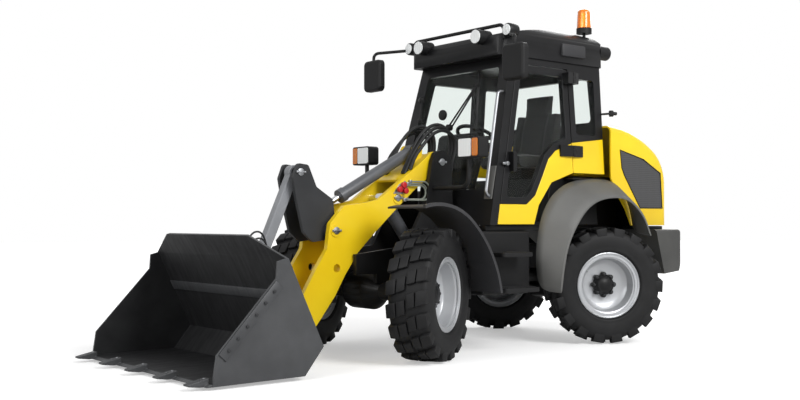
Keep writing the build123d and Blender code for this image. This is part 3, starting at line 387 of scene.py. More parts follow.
YELLOW = yellow_enamel()
BUCKET_OUTSIDE = worn_steel("bucket_paint", "404143", "4b4c4e", 0.5)
# Inside of the bucket: streaked worn steel, its colour painted much darker than outside as the shade in the
# hollow
BUCKET_INSIDE_SHADED = worn_steel("bucket_inside_worn_and_painted_shade", "18181a", "2a2b2c", 0.55)
LINKAGE = coat("linkage_paint", "27282a", "343537", 0.42, 4, 0.1, 0.35)
# Link bar: grey paint, painted lighter all over as the highlight on its lit top face
LINK_BAR_HIGHLIGHTED = coat("link_bar_grey_and_painted_highlight", "7d7f83", "909296", 0.34, 4, 0.08)
BARREL = coat("cylinder_paint", "505256", "606266", 0.36, 4, 0.08)
BLACK = coat("black_powder_coat", "0c0c0d", "161617", 0.42, 3, 0.1, 0.3)
CAB_BLACK = coat("cab_black_paint", "0e0e0f", "18181a", 0.38, 5, 0.06, 0.3)
MOULDED = coat("black_moulded_plastic", "101011", "1a1a1b", 0.55, 2.5, 0.25, 0.3)
FENDER = coat("grey_moulded_fender", "5a5a58", "666664", 0.55, 2.5, 0.2)
# Front fenders: grey moulding like the rear ones, painted darker as the shade on their undersides; the roof
# side boxes take the same colour as dark moulding
DARK_MOULDING_AND_FENDER_SHADE = coat("dark_moulding_and_painted_fender_shade", "2e2e30", "3a3a3c", 0.5, 2.5, 0.2, 0.35)
BALLAST = coat("cast_iron_paint", "424241", "4e4e4c", 0.55, 8, 0.3, 0.4)
GRILLE = pierced_sheet()
RUBBER = tyre_rubber()
HOSE = coat("braided_hose_rubber", "121213", "222324", 0.5, 6, 0.4, 0.35)
GREY_HOSE = coat("grey_hose_cover", "6f756c", "8b9186", 0.5, 6, 0.3)
SILVER = polished("silver_rim_paint", "b9bbbe", 0.34, 0.5)
CHROME = polished("chromed_rod", "dadcde", 0.14, 1.0)
STEEL = polished("zinc_plated_steel", "9a9c9f", 0.36, 1.0)
MIRROR = polished("silvered_mirror_glass", "dfe3e6", 0.08, 1.0)
RED_CAP = coat("red_cap_plastic", "b3131c", "c81a22", 0.35, 6, 0.05)
GLASS = window_glass()
AMBER = lens("amber_acrylic", "ff8f12", 0.16, 0.35)
CLEAR = lens("clear_acrylic", "f4f7f7", 0.12, 0.0)
RED_LENS = lens("red_acrylic", "b0120c", 0.16, 0.3)
FABRIC = seat_fabric()

# Paint of each solid; the rest is black powder coat
PAINTED = {
    YELLOW: ["boom", "door_panel", "side_panels", "hood"],
    BUCKET_OUTSIDE: ["bucket", "bucket_teeth"],
    LINKAGE: ["quick_hitch", "lever"],
    BARREL: ["tilt_barrel", "lift_barrel"],
    LINK_BAR_HIGHLIGHTED: ["link"],
    FENDER: ["rear_fenders"],
    DARK_MOULDING_AND_FENDER_SHADE: ["front_fenders"],
    GRILLE: ["hood_grille"],
    BALLAST: ["counterweight"],
    CHROME: ["tilt_rod", "lift_rod"],
    GLASS: ["windscreen", "rear_window", "side_glass", "door_glass"],
    STEEL: ["grab_bar"],
    AMBER: ["amber_lenses"],
    CLEAR: ["clear_lenses"],
    RED_LENS: ["tail_lamps"],
    CAB_BLACK: ["cab_frame", "door_frame", "cab_roof"],
    MOULDED: ["side_tanks", "steps", "dash", "mirrors", "headlamps", "beacon", "steering_wheel",
              "work_lamps"],
}
PAINT_OF = {node: paint for paint, nodes in PAINTED.items() for node in nodes}

# Edge radius in millimetres of the solids whose edges are broken, pressed or cast
ROUNDED = {
    2: ["hood_grille", "door_hinges", "door_fittings", "hood_hinges"],
    3: ["hood", "front_fenders", "headlamps", "tilt_barrel", "lift_barrel", "tail_lamps", "beacon"],
    4: ["bucket", "bucket_teeth", "cab_floor", "rear_axle", "front_axle"],
    5: ["quick_hitch", "lever", "door_panel", "side_panels", "steps", "frame", "cab_frame", "door_frame"],
    6: ["boom", "link", "cab_roof", "amber_lenses"],
    10: ["counterweight", "seat_pedestal", "engine_block"],
    18: ["side_tanks", "dash"],
}
# Degrees: faces within the first are one, edges sharper than the second are rounded
FLAT_WITHIN = 1
ROUNDED_FROM = 32
# A point in the bucket's hollow, and the Y within which its faces are inner ones
BUCKET_HOLLOW = (1950, 0, 400)
BUCKET_INNER_Y = 861


def paint_solids():
    """Gives each solid its paint."""
    for name, node in NODES.items():
        node.data.materials.clear()
        node.data.materials.append(PAINT_OF.get(name, BLACK))


def rounded_solid(name, radius):
    """Copy of a solid with its edges rounded, which stands for it."""
    shape = bmesh.new()
    shape.from_mesh(NODES[name].data)
    bmesh.ops.remove_doubles(shape, verts=shape.verts, dist=WELD)
    bmesh.ops.dissolve_limit(shape, angle_limit=math.radians(FLAT_WITHIN), verts=shape.verts,
                             edges=shape.edges)
    made = piece(name + "_skin", shape, PAINT_OF.get(name, BLACK), BODY_OF[name])
    soft = made.modifiers.new("rounded_edges", "BEVEL")
    soft.width = radius * MM
    soft.segments = 2
    soft.limit_method = "ANGLE"
    soft.angle_limit = math.radians(ROUNDED_FROM)
    soft.harden_normals = True
    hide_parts(name)
    return made


def paint_bucket_hollow_shade(skin):
    """Gives the bucket's inner faces the worn finish, painted much darker as the shade in its hollow."""
    hollow = in_metres(BUCKET_HOLLOW)
    skin.data.materials.append(BUCKET_INSIDE_SHADED)
    for face in skin.data.polygons:
        if abs(face.center.y) < BUCKET_INNER_Y * MM and face.normal.dot(hollow - face.center) > 0:
            face.material_index = 1


# Wheels

# Tyre section: half width and radius from the bead to the crown
TYRE_SECTION = [
    (124.7, 229), (124.7, 262), (131, 271), (143, 276), (147, 284), (146, 292), (150, 312), (153, 345),
    (151, 382), (143, 412), (128, 432), (96, 441), (48, 445),
]
TYRE_CROWN_R = 446
# Tread blocks, flat: across the tread and along it, one block near the middle and one at the shoulder
BLOCKS = [
    [(5, -72), (40, -63), (66, -54), (66, 46), (44, 39), (5, 26)],
    [(73, -52), (98, -46), (147, -34), (147, 64), (100, 59), (73, 50)],
]
BLOCK_TOP_DROP = 11
BLOCK_FOOT = 436
SHOULDER_FOOT = 386
# Share of the half width from which the blocks' feet drop to the shoulder
SHOULDER_FROM = 0.6
BLOCK_CORNER = 6
BLOCK_EDGE = 5
# The flat block is one metre tall and the bent one about a 26th of that
BLOCK_STRETCH = 26
TYRE_STEPS = 72
RIM_STEPS = 80
HUB_STEPS = 48


def bend_to_tread(verts, hand, phase):
    """Wraps flat tread blocks round the tyre: X across, Y along, Z from foot 0 to top 1."""
    for vert in verts:
        across, run, rise = vert.co
        share = abs(across) / (TYRE_HALF * MM)
        top = TYRE_R - BLOCK_TOP_DROP * share ** 3
        drop = max(0.0, (share - SHOULDER_FROM) / (1 - SHOULDER_FROM)) ** 2
        foot = BLOCK_FOOT - (BLOCK_FOOT - SHOULDER_FOOT) * drop
        radius = (foot + (top - foot) * rise) * MM
        angle = hand * run / (TYRE_R * MM) + phase
        vert.co = (radius * math.cos(angle), hand * across, radius * math.sin(angle))


def tread_sector(shape):
    """One pitch of the tread: a pair of blocks on each side, half a pitch apart."""
    for hand, phase in ((1, 0.0), (-1, math.pi / LUGS)):
        for outline in BLOCKS:
            before = set(shape.verts)
            foot = shape.faces.new([shape.verts.new((y * MM, s * MM, 0)) for y, s in outline])
            grown = bmesh.ops.extrude_face_region(shape, geom=[foot])["geom"]
            tops = [g for g in grown if isinstance(g, bmesh.types.BMVert)]
            bmesh.ops.translate(shape, vec=(0, 0, 1), verts=tops)
            upright = [e for v in tops for e in v.link_edges if e.other_vert(v) not in tops]
            round_off(shape, upright, BLOCK_CORNER)
            crown = [e for e in shape.edges if all(v not in before and v.co.z > 0.99 for v in e.verts)]
            bmesh.ops.bevel(shape, geom=[e for e in crown if len(e.link_faces) == 2
                                         and e.link_faces[0].normal.dot(e.link_faces[1].normal) < 0.5],
                            offset=BLOCK_EDGE * MM, offset_type="OFFSET", affect="EDGES", segments=2,
                            profile=0.5, material=-1)
            fresh = [v for v in shape.verts if v not in before]
            # The rounding shrinks with the block's height, so it is stretched first
            for vert in fresh:
                if 0.9 < vert.co.z < 0.999:
                    vert.co.z = 1 - (1 - vert.co.z) * BLOCK_STRETCH
            bend_to_tread(fresh, hand, phase)


def tyre(name, place):
    """Tyre with its tread blocks, in place of the solid one."""
    shape = bmesh.new()
    section = TYRE_SECTION + [(0, TYRE_CROWN_R)] + [(-y, r) for y, r in reversed(TYRE_SECTION)]
    tread_sector(shape)
    bmesh.ops.spin(shape, geom=shape.verts[:] + shape.edges[:] + shape.faces[:], cent=(0, 0, 0),
                   axis=(0, 1, 0), angle=math.tau * (LUGS - 1) / LUGS, steps=LUGS - 1, use_duplicate=True)
    bmesh.ops.recalc_face_normals(shape, faces=shape.faces)
    bmesh.ops.transform(shape, matrix=place, verts=shape.verts)
    turned(shape, [(r, y) for y, r in section], TYRE_STEPS, place)
    solid = "tyre_" + name
    made = piece("tyre_dressed_" + name, shape, RUBBER, BODY_OF[solid], 50)
    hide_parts(solid)


# Rim section, radius and place along the axle: lip, gutter, bead seat, well, disc and back
RIM_SECTION = [
    (258, 135), (264, 132), (265, 127), (262, 125), (RIM_SEAT_R, RIM_HALF), (RIM_SEAT_R, -RIM_HALF),
    (262, -125), (265, -127), (264, -132), (258, -135), (250, -132), (214, -112), (207, 0), (165, -24),
    (46, -24), (46, -4), (98, -4), (160, -3), (170, 2), (203, 17), (208, 24), (213, 98), (217, 108),
    (226, 113), (234, 114), (240, 112), (246, 117), (250, 130),
]
# Hub cover with its lobes, one round each nut
HUB_SECTION = [(0, 58), (34, 58), (40, 54), (60, 54), (64, 50), (80, 38), (HUB_R, 32), (HUB_R, -5), (0, -5)]
HUB_LOBES = 8
LOBE_R = 21
LOBE_FOOT = -5
LOBE_TOP = 31
# columns: foot, top, radius, edge, sides
NUT_BARS = [(LOBE_TOP, 36, 13, 1, 20), (36, 48, 10, 1.5, 6)]
VALVE = (150, 110)
VALVE_BARS = [(-2, 40, 6, 1, 12), (34, 48, 9, 1.5, 12)]


def rim(name, place):
    """Rim in place of the solid one, with its hub cover, nuts and valve."""
    shape = bmesh.new()
    turned(shape, RIM_SECTION, RIM_STEPS, place)
    solid = "rim_" + name
    made = piece("rim_dressed_" + name, shape, SILVER, BODY_OF[solid], 32)
    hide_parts(solid)
    hub = bmesh.new()
    turned(hub, HUB_SECTION, HUB_STEPS, closed=False)
    nuts = bmesh.new()
    for i in range(HUB_LOBES):
        angle = math.tau * i / HUB_LOBES
        x = HUB_R * math.cos(angle)
        z = HUB_R * math.sin(angle)
        bar(hub, (x, LOBE_FOOT, z), (x, LOBE_TOP, z), LOBE_R, 3)
        for foot, top, radius, edge, sides in NUT_BARS:
            bar(nuts, (x, foot, z), (x, top, z), radius, edge, sides)
    valve = bmesh.new()
    x, z = VALVE
    for foot, top, radius, edge, sides in VALVE_BARS:
        bar(valve, (x, foot, z), (x, top, z), radius, edge, sides)
    dressing = [(hub, "hub_cover_", BLACK), (nuts, "wheel_nuts_", LINKAGE), (valve, "valve_", STEEL)]
    for shape, label, paint in dressing:
        bmesh.ops.transform(shape, matrix=place, verts=shape.verts)
        piece(label + name, shape, paint, BODY_OF[solid])


def wheels():
    """Dresses the four wheels where their solids stand."""
    for name, turn in STATIONS:
        low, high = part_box("rim_" + name)
        place = Matrix.Translation((low + high) / 2) @ Matrix.Rotation(math.radians(turn), 4, "Z")
        tyre(name, place)
        rim(name, place)


# Bucket and linkage

BUCKET_FACE_Y = 876
CUTTER = dict(top=(1806, 624), low=(2196, 206), width=66, thick=10)
CUTTER_BOLTS = 6
# Share of the cutter's length at the first bolt, and between two
CUTTER_BOLT_FIRST = 0.1
CUTTER_BOLT_STEP = 0.16
FOLD = dict(low=(1602, 484), high=(1633, 548), half=856, thick=9, lift=(0.9, 0, -0.42))
TEETH = 5
TOOTH_SPAN = 806
TOOTH_BOLT_X = (2252, 2290)
TOOTH_BOLT_FOOT = 60
# The bolts' tops follow the teeth: X and Z where they start, and the fall per millimetre
TOOTH_TOP = (2234, 73)
TOOTH_FALL = 0.2


def bucket_details():
    """Bolted side cutters on the bucket's front edges, fold band across its back and bolts of its teeth."""
    shape = bmesh.new()
    bolts = bmesh.new()
    (x0, z0), (x1, z1) = CUTTER["top"], CUTTER["low"]
    run = Vector((x1 - x0, 0, z1 - z0)).normalized()
    inward = Vector((run.z, 0, -run.x)) * CUTTER["width"]
    for hand in (1, -1):
        y = hand * BUCKET_FACE_Y
        corners = [Vector((x0, y, z0)), Vector((x1, y, z1))]
        corners += [corners[1] + inward, corners[0] + inward]
        plate(shape, corners, CUTTER["thick"], (0, hand, 0), 3)
        for i in range(CUTTER_BOLTS):
            share = CUTTER_BOLT_FIRST + CUTTER_BOLT_STEP * i
            at = corners[0].lerp(corners[1], share) + inward / 2
            head = at + Vector((0, hand * CUTTER["thick"], 0))
            bar(bolts, head, head + Vector((0, hand * 8, 0)), 12, 2, 6)
    piece("bucket_side_cutters", shape, BUCKET_OUTSIDE, "bucket")
    piece("bucket_cutter_bolts", bolts, LINKAGE, "bucket")
    band = bmesh.new()
    (x0, z0), (x1, z1) = FOLD["low"], FOLD["high"]
    half = FOLD["half"]
    outline = [(x0, -half, z0), (x0, half, z0), (x1, half, z1), (x1, -half, z1)]
    plate(band, outline, FOLD["thick"], FOLD["lift"], 3)
    piece("bucket_fold_band", band, BUCKET_OUTSIDE, "bucket")
    tips = bmesh.new()
    for i in range(TEETH):
        y = -TOOTH_SPAN + 2 * TOOTH_SPAN * i / (TEETH - 1)
        for x in TOOTH_BOLT_X:
            top = TOOTH_TOP[1] - (x - TOOTH_TOP[0]) * TOOTH_FALL
            bar(tips, (x, y, TOOTH_BOLT_FOOT), (x, y, top), 9, 1.5, 6)
    piece("tooth_bolts", tips, STEEL, "bucket")


# Pins that show
# columns: body, X, Z, Y of the face that the head stands on
PINS = [
    ("boom", 864, 917, 187), ("boom", 300, 1160, 187), ("lever", 1115, 1332, 105), ("bucket", 1165, 245, 218),
    ("chassis", -100, 1440, 230), ("chassis", -150, 560, 230), ("bucket", 1416, 660, 80),
]
PIN_HEAD = dict(radius=27, height=7)
# Locking bar: half length, half thickness, half height, and Y of its middle above the face
LOCK_BAR = (40, 3, 8, 8)
# Bolts of the locking bar: distance from the pin, foot and top above the face
LOCK_BOLT = (28, 10, 17)


def pin_heads():
    """Pin heads with their locking bars and bolts, on both sides."""
    half, thin, tall, lift = LOCK_BAR
    reach, foot, top = LOCK_BOLT
    for body in sorted({row[0] for row in PINS}):
        shape = bmesh.new()
        for owner, x, z, face in PINS:
            if owner != body:
                continue
            for hand in (1, -1):
                y = hand * (face + PIN_HEAD["height"])
                bar(shape, (x, hand * face, z), (x, y, z), PIN_HEAD["radius"], 3, 28)
                y = hand * (face + lift)
                block(shape, (x - half, y - thin, z - tall), (x + half, y + thin, z + tall), 2)
                for side in (x - reach, x + reach):
                    bar(shape, (side, hand * (face + foot), z), (side, hand * (face + top), z), 7, 1, 6)
        piece("pin_heads_" + body, shape, STEEL, body)


# Hoses: control points in millimetres

ARCH_DIAMETER = 27
# columns: Y, rise of the top, Z of its end on the boom
ARCH = [
    (-160, -34, 1376), (-127, -12, 1346), (-97, 12, 1346), (97, 14, 1346), (127, -10, 1346), (160, -36, 1376),
]
# X from which the hoses follow the mast, and X from which they follow the boom
MANIFOLD = dict(low=(-235, -190, 1040), high=(-175, 190, 1088))
# X and Z of the foot and the top of each hose's fitting on it
FITTING = [(-205, 1088), (-206, 1120)]
# Z at which the boom's web takes the straight ends, and X of the ends there
WEB_Z = 1346
WEB_X = 190


def hose_arch():
    """Hoses from a plate across the mast up and over the boom's root, down to the boom's web."""
    shape = bmesh.new()
    block(shape, MANIFOLD["low"], MANIFOLD["high"], 4)
    (x0, z0), (x1, z1) = FITTING
    for y in [row[0] for row in ARCH]:
        bar(shape, (x0, y, z0), (x1, y, z1), 18, 3, 6)
    piece("hose_manifold", shape, BLACK, "chassis")
    for i, (y, rise, end) in enumerate(ARCH):
        route = [
            (-205, y, 1090), (-222, y, 1250), (-262, y, 1430), (-312, y, 1570), (-288, y, 1690 + rise),
            (-170, y, 1738 + rise), (-50, y, 1690 + rise), (50, y, 1585 + rise), (118, y, 1475),
            (WEB_X - (end - WEB_Z), y, end),
        ]
        made, centre = hose(f"arch_hose_{i}", route, ARCH_DIAMETER, HOSE, None)
        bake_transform(made)


# Coupler station on the boom's left side: X and Z of each coupling, and of its plate's corners
COUPLERS = [(266, 1255), (304, 1222), (248, 1212)]
COUPLER_PLATE = [(205, 1225), (262, 1188), (345, 1190), (288, 1262), (228, 1290)]
COUPLER_FACE = 180
# Heights above the plate's foot: plate, coupling, cap
COUPLER_STEPS = (8, 22, 48)
LOOP_DIAMETER = 13
CLIP_Y = 194
# columns: Y of its belly, X and Z of its start, X of its end, X of its bend's centre, radius of the bend
LOOPS = [(204, 214, 1268, 236, 92, 59), (222, 188, 1284, 246, 84, 70), (212, 232, 1254, 222, 104, 52)]
# Corners of half an octagon round a bend of radius 1
HALF_TURN = [(0.41, 1), (-0.41, 1), (-1, 0.41), (-1, -0.41), (-0.41, -1), (0.41, -1)]


def coupler_station():
    """Plate with capped quick couplings, and the hose loops that hang from it to clips on the boom."""
    bracket = bmesh.new()
    foot, seat, top = [COUPLER_FACE + step for step in COUPLER_STEPS]
    plate(bracket, [(x, COUPLER_FACE, z) for x, z in COUPLER_PLATE], foot - COUPLER_FACE, (0, 1, 0), 2)
    caps = bmesh.new()
    for x, z in COUPLERS:
        bar(bracket, (x, foot, z), (x, seat, z), 15, 2, 6)
        bar(caps, (x, seat, z), (x, top, z), 23, 6, 24)
    for belly, start, top, end, middle, bend in LOOPS:
        for x, z in ((start, top), (end, top - 2 * bend)):
            block(bracket, (x - 12, COUPLER_FACE, z - 11), (x + 12, CLIP_Y + 12, z + 11), 3)
    piece("coupler_bracket", bracket, STEEL, "boom")
    piece("coupler_caps", caps, RED_CAP, "boom")
    for i, (belly, start, top, end, middle, bend) in enumerate(LOOPS):
        turn = [(middle + x * bend, belly, top + (z - 1) * bend) for x, z in HALF_TURN]
        route = [(start, CLIP_Y, top), *turn, (end, CLIP_Y, top - 2 * bend)]
        made, centre = hose(f"coupler_hose_{i}", route, LOOP_DIAMETER, GREY_HOSE, "boom")


HITCH_HOSE = 13
# columns: Y, height of the loop's top
HITCH_LOOPS = [(118, 905), (142, 860)]


def hitch_hoses():
    """Hose loops of the locking cylinder, from the hitch's top plate back to its cheek."""
    for i, (y, top) in enumerate(HITCH_LOOPS):
        route = [
            (1545, y, 655), (1572, y, 740), (1560, y, top - 60), (1510, y, top + 10), (1440, y, top + 6),
            (1400, y, top - 90), (1412, y, 760), (1440, y, 690),
        ]
        made, centre = hose(f"hitch_hose_{i}", route, HITCH_HOSE, HOSE, "bucket")


# Cab fittings

WIPER_PIVOT = (-34, 1740)
WIPER_ELBOW = (216, 2073)
WIPER_ARM_GAP = 34
WIPER_STAND = 22
BLADE = [(214, 2180), (302, 1698)]
BLADE_STAND = 12
# The blade's back is shorter than its rubber by this much across and up, at each end
BLADE_BACK = (20, 110)
BLADE_BACK_STAND = 18


def on_screen(y, z, stand):
    """Point in front of the windscreen's plane, in millimetres."""
    return (cab_front(z) + stand, y, z)


def wiper():
    """Wiper with a twin arm on the windscreen."""
    shape = bmesh.new()
    y0, z0 = WIPER_PIVOT
    y1, z1 = WIPER_ELBOW
    bar(shape, on_screen(y0, z0, -12), on_screen(y0, z0, WIPER_STAND + 8), 26, 4)
    for shift in (0, WIPER_ARM_GAP):
        foot = on_screen(y0 + shift, z0 - shift / 2, WIPER_STAND)
        bar(shape, foot, on_screen(y1 + shift / 2, z1 - 10, WIPER_STAND), 7, 2, 10)
    bar(shape, on_screen(y1 - 12, z1 - 2, WIPER_STAND), on_screen(y1 + 36, z1 - 16, WIPER_STAND), 11, 2, 12)
    (ya, za), (yb, zb) = BLADE
    bar(shape, on_screen(ya, za, BLADE_STAND), on_screen(yb, zb, BLADE_STAND), 9, 2, 8)
    across, up = BLADE_BACK
    bar(shape, on_screen(ya + across, za - up, BLADE_BACK_STAND),
        on_screen(yb - across, zb + up, BLADE_BACK_STAND), 8, 2, 8)
    piece("screen_wiper", shape, BLACK, "chassis")


SCREEN_DISC = (-155, 1853)
BLIND_HANDLE = (-452, 2003)


def screen_fittings():
    """Round cover and pull handle on the windscreen."""
    shape = bmesh.new()
    y, z = SCREEN_DISC
    bar(shape, on_screen(y, z, -14), on_screen(y, z, 12), 43, 7, 36)
    y, z = BLIND_HANDLE
    bar(shape, on_screen(y - 26, z, -4), on_screen(y + 16, z + 4, 16), 26, 6, 20)
    bar(shape, on_screen(y + 14, z, 14), on_screen(y + 26, z - 170, 14), 9, 2, 12)
    bar(shape, on_screen(y + 26, z - 160, 14), on_screen(y + 27, z - 186, 14), 15, 5, 16)
    piece("screen_fittings", shape, BLACK, "chassis")


# Y and Z of each mirror's middle, X of its rear face, and the glass's thickness, width and height
MIRRORS = [(850, 2158), (-850, 2232)]
MIRROR_X = -296
MIRROR_SIZE = (3, 198, 238)
MIRROR_CORNER = 34


def mirror_glass():
    """Silvered glass on the rear face of each mirror head."""
    shape = bmesh.new()
    for y, z in MIRRORS:
        verts = bmesh.ops.create_cube(shape, size=1.0)["verts"]
        bmesh.ops.scale(shape, vec=in_metres(MIRROR_SIZE), verts=verts)
        upright = [e for e in once(e for v in verts for e in v.link_edges)
                   if abs(e.verts[0].co.x - e.verts[1].co.x) > 0.001]
        bmesh.ops.translate(shape, vec=in_metres((MIRROR_X, y, z)), verts=verts)
        round_off(shape, upright, MIRROR_CORNER, 6)
    piece("mirror_glass", shape, MIRROR, "chassis")


# columns: X of its middle, Y of its outer side, Z, half length along X, depth
STEP_GRIPS = [(-360, 850, 475, 150, 190), (-365, 800, 735, 130, 150)]
GRIP_PITCH = 26
GRIP_HALF = 5
GRIP_MARGIN = 24
# Foot and top of the bars above the step's middle
GRIP_RISE = (16, 22)


def step_grips():
    """Raised bars on the steps' treads, both sides."""
    shape = bmesh.new()
    foot, top = GRIP_RISE
    for x, outer, z, half, depth in STEP_GRIPS:
        rows = int(depth / GRIP_PITCH)
        for hand in (1, -1):
            for i in range(rows):
                y = hand * (outer - GRIP_MARGIN - i * GRIP_PITCH)
                block(shape, (x - half, y - GRIP_HALF, z + foot), (x + half, y + GRIP_HALF, z + top), 2)
    piece("step_grips", shape, MOULDED, "chassis")


ROOF_BOX = dict(low=(-1372, 525, 2318), high=(-1094, 572, 2420))
CORNER_LAMP = (-480, 590, 2452)
DOOR_STOP = (-1636, 615, 1882)
DOOR_STOP_FOOT = (-1575, 555, 1876)
# Y and Z of the panels beside the windscreen's foot
CORNER_PANEL = [(520, 1150), (604, 1150), (592, 1404), (508, 1404)]


def cab_details():
    """Roof side boxes, corner lamps, door stop and the front corner panels."""
    shape = bmesh.new()
    pair_of_blocks(shape, ROOF_BOX["low"], ROOF_BOX["high"], 12)
    piece("roof_side_boxes", shape, DARK_MOULDING_AND_FENDER_SHADE, "chassis")
    lamp = bmesh.new()
    x, y, z = CORNER_LAMP
    for hand in (1, -1):
        bar(lamp, (x - 60, hand * y, z), (x + 42, hand * y, z), 52, 14, 32)
        bar(lamp, (x - 20, hand * (y - 90), z - 40), (x - 20, hand * (y - 20), z - 8), 14, 3, 14)
    piece("corner_lamps", lamp, BLACK, "chassis")
    glass = bmesh.new()
    for hand in (1, -1):
        bar(glass, (x + 40, hand * y, z), (x + 46, hand * y, z), 42, 2, 32)
    piece("corner_lamp_lenses", glass, CLEAR, "chassis")
    stop = bmesh.new()
    x, y, z = DOOR_STOP
    bar(stop, DOOR_STOP_FOOT, (x, y, z), 9, 2, 12)
    bar(stop, (x - 4, y - 4, z - 26), (x - 4, y - 4, z + 26), 20, 7, 20)
    bar(stop, (x - 6, y, z), (x - 44, y + 22, z), 15, 6, 20)
    piece("door_stop", stop, BLACK, "chassis")
    corner = bmesh.new()
    for hand in (1, -1):
        outline = [on_screen(hand * y, z, 2) for y, z in CORNER_PANEL]
        plate(corner, outline, 9, (1, 0, 0.24), 3)
    piece("cab_corner_panels", corner, FENDER, "chassis")


# X and Z of the door's push lock, Y of its foot and its top, and its radius
LOCK_AT = (-420, 1424)
LOCK_Y = (600, 626)
LOCK_R = 17
LOCK_PLATE = dict(low=(-446, 608, 1414), high=(-372, 622, 1434))


def door_lock():
    """Push lock with its plate on the door's front edge."""
    shape = bmesh.new()
    x, z = LOCK_AT
    foot, top = LOCK_Y
    bar(shape, (x, foot, z), (x, top, z), LOCK_R, 4, 20)
    block(shape, LOCK_PLATE["low"], LOCK_PLATE["high"], 5)
    piece("door_lock", shape, STEEL, "door")


GRILLE_EDGE = [
    (-1716, 1580), (-2020, 1512), (-2252, 1400), (-2277, 1097), (-1976, 1097), (-1770, 1370), (-1738, 1430),
]
BEAD_Y = 641
BEAD_R = 5


def grille_border():
    """Rubber bead round each side grille."""
    for hand, name in ((1, "left"), (-1, "right")):
        curve, line = line_through("grille_bead", "POLY", [(x, hand * BEAD_Y, z) for x, z in GRILLE_EDGE])
        line.use_cyclic_u = True
        curve.bevel_depth = BEAD_R * MM
        curve.bevel_resolution = 2
        piece("grille_bead_" + name, as_mesh(curve), BLACK, "hood")


# Rear fenders, flared from the body side out to the lip
# columns: body side X and Z, lip X and Z
FLARE = [
    (-727, 440, -745, 440), (-690, 600, -768, 600), (-684, 770, -815, 790), (-741, 1038, -895, 925),
    (-866, 1195, -1035, 1094), (-1016, 1284, -1201, 1172), (-1254, 1336, -1370, 1190),
    (-1563, 1330, -1533, 1186), (-1700, 1270, -1672, 1115), (-1810, 1160, -1787, 1000),
    (-1860, 1000, -1826, 909), (-1880, 880, -1850, 870),
]
BODY_LINE = [row[:2] for row in FLARE]
LIP_LINE = [row[2:] for row in FLARE]
FENDER_IN = 655
FENDER_OUT = 860
FENDER_T = 12
FENDER_MIDDLE = (-1280, 300)
LIP_RETURN = 18
LIP_CREASE = 0.85
SHELF = dict(low=(-1490, 540, 1318), high=(-1110, 661, 1330))


def grow_row(shape, row, places):
    """Extrudes a row of vertices and puts the new ones in their places."""
    edges = [shape.edges.get(pair) for pair in zip(row, row[1:])]
    grown = bmesh.ops.extrude_edge_only(shape, edges=edges)["geom"]
    fresh = {g for g in grown if isinstance(g, bmesh.types.BMVert)}
    new_row = []
    for vert, at in zip(row, places):
        other = next(e.other_vert(vert) for e in vert.link_edges if e.other_vert(vert) in fresh)
        other.co = in_metres(at)
        new_row.append(other)
    return new_row


def rear_fenders():
    """One smooth sheet over each rear wheel, with a turned-in lip, and the shelf that carries it."""
    shape = bmesh.new()
    crease = shape.edges.layers.float.new("crease_edge")
    for hand in (1, -1):
        row = [shape.verts.new(in_metres((x, hand * FENDER_IN, z))) for x, z in BODY_LINE]
        for pair in zip(row, row[1:]):
            shape.edges.new(pair)
        lip = grow_row(shape, row, [(x, hand * FENDER_OUT, z) for x, z in LIP_LINE])
        inner = []
        for x, z in LIP_LINE:
            reach = Vector((x - FENDER_MIDDLE[0], z - FENDER_MIDDLE[1]))
            x, z = reach * (1 - LIP_RETURN / reach.length)
            inner.append((FENDER_MIDDLE[0] + x, hand * (FENDER_OUT - 2), FENDER_MIDDLE[1] + z))
        grow_row(shape, lip, inner)
        for pair in zip(lip, lip[1:]):
            shape.edges.get(pair)[crease] = LIP_CREASE
    bmesh.ops.recalc_face_normals(shape, faces=shape.faces)
    middle = in_metres((FENDER_MIDDLE[0], 0, FENDER_MIDDLE[1]))
    for face in shape.faces:
        away = face.calc_center_median() - middle
        if face.normal.x * away.x + face.normal.z * away.z < -0.002 and abs(face.normal.y) < 0.9:
            face.normal_flip()
    made = piece("rear_fender_sheets", shape, FENDER, "chassis", 60)
    smooth = made.modifiers.new("smooth", "SUBSURF")
    smooth.levels = smooth.render_levels = 2
    wall = made.modifiers.new("wall", "SOLIDIFY")
    wall.thickness = FENDER_T * MM
    wall.offset = -1
    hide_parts("rear_fenders")
    shelves = bmesh.new()
    pair_of_blocks(shelves, SHELF["low"], SHELF["high"], 2)
    piece("fender_shelves", shelves, BLACK, "chassis")


# Dark pieces behind the openings: corners of blocks; one that starts at Y 0 runs across, the others are pairs
INNER_BLOCKS = {
    "cab_mount_rails": [((-1180, 500, 909), (-232, 575, 956))],
    "hood_seal_rails": [((-2335, 470, 914), (-1950, 600, 943)), ((-2335, 0, 914), (-2240, 470, 943))],
    "radiator_core": [((-2300, 0, 914), (-2192, 410, 1290))],
}
COWL = [(-425, 1400), (-470, 1560), (-492, 1672), (-530, 1698), (-575, 1690), (-612, 1630), (-545, 1500)]
COWL_SPAN = (-265, 205)


def inner_pieces():
    """Cab mount rails, hood seal rails, radiator core and the instrument cowl behind the windscreen."""
    for name, corners in INNER_BLOCKS.items():
        shape = bmesh.new()
        for low, high in corners:
            if low[1] == 0:
                block(shape, (low[0], -high[1], low[2]), high, 6)
            else:
                pair_of_blocks(shape, low, high, 6)
        piece(name, shape, BLACK, "chassis")
    cowl = bmesh.new()
    low, high = COWL_SPAN
    plate(cowl, [(x, low, z) for x, z in COWL], high - low, (0, 1, 0), 14)
    piece("instrument_cowl", cowl, MOULDED, "chassis")


# Seat: the pad's swell is capped, then two sewn channels are pressed in
SEAT_VOXEL = 0.012
SEAT_SHRINK = 0.985
SEAT_CAP = 0.012
SEAT_PRESSURE = 4.0
SEAT_FRAMES = 20
SEAM_Y = 0.13
SEAM_DEPTH = 0.007
SEAM_WIDTH = 0.012


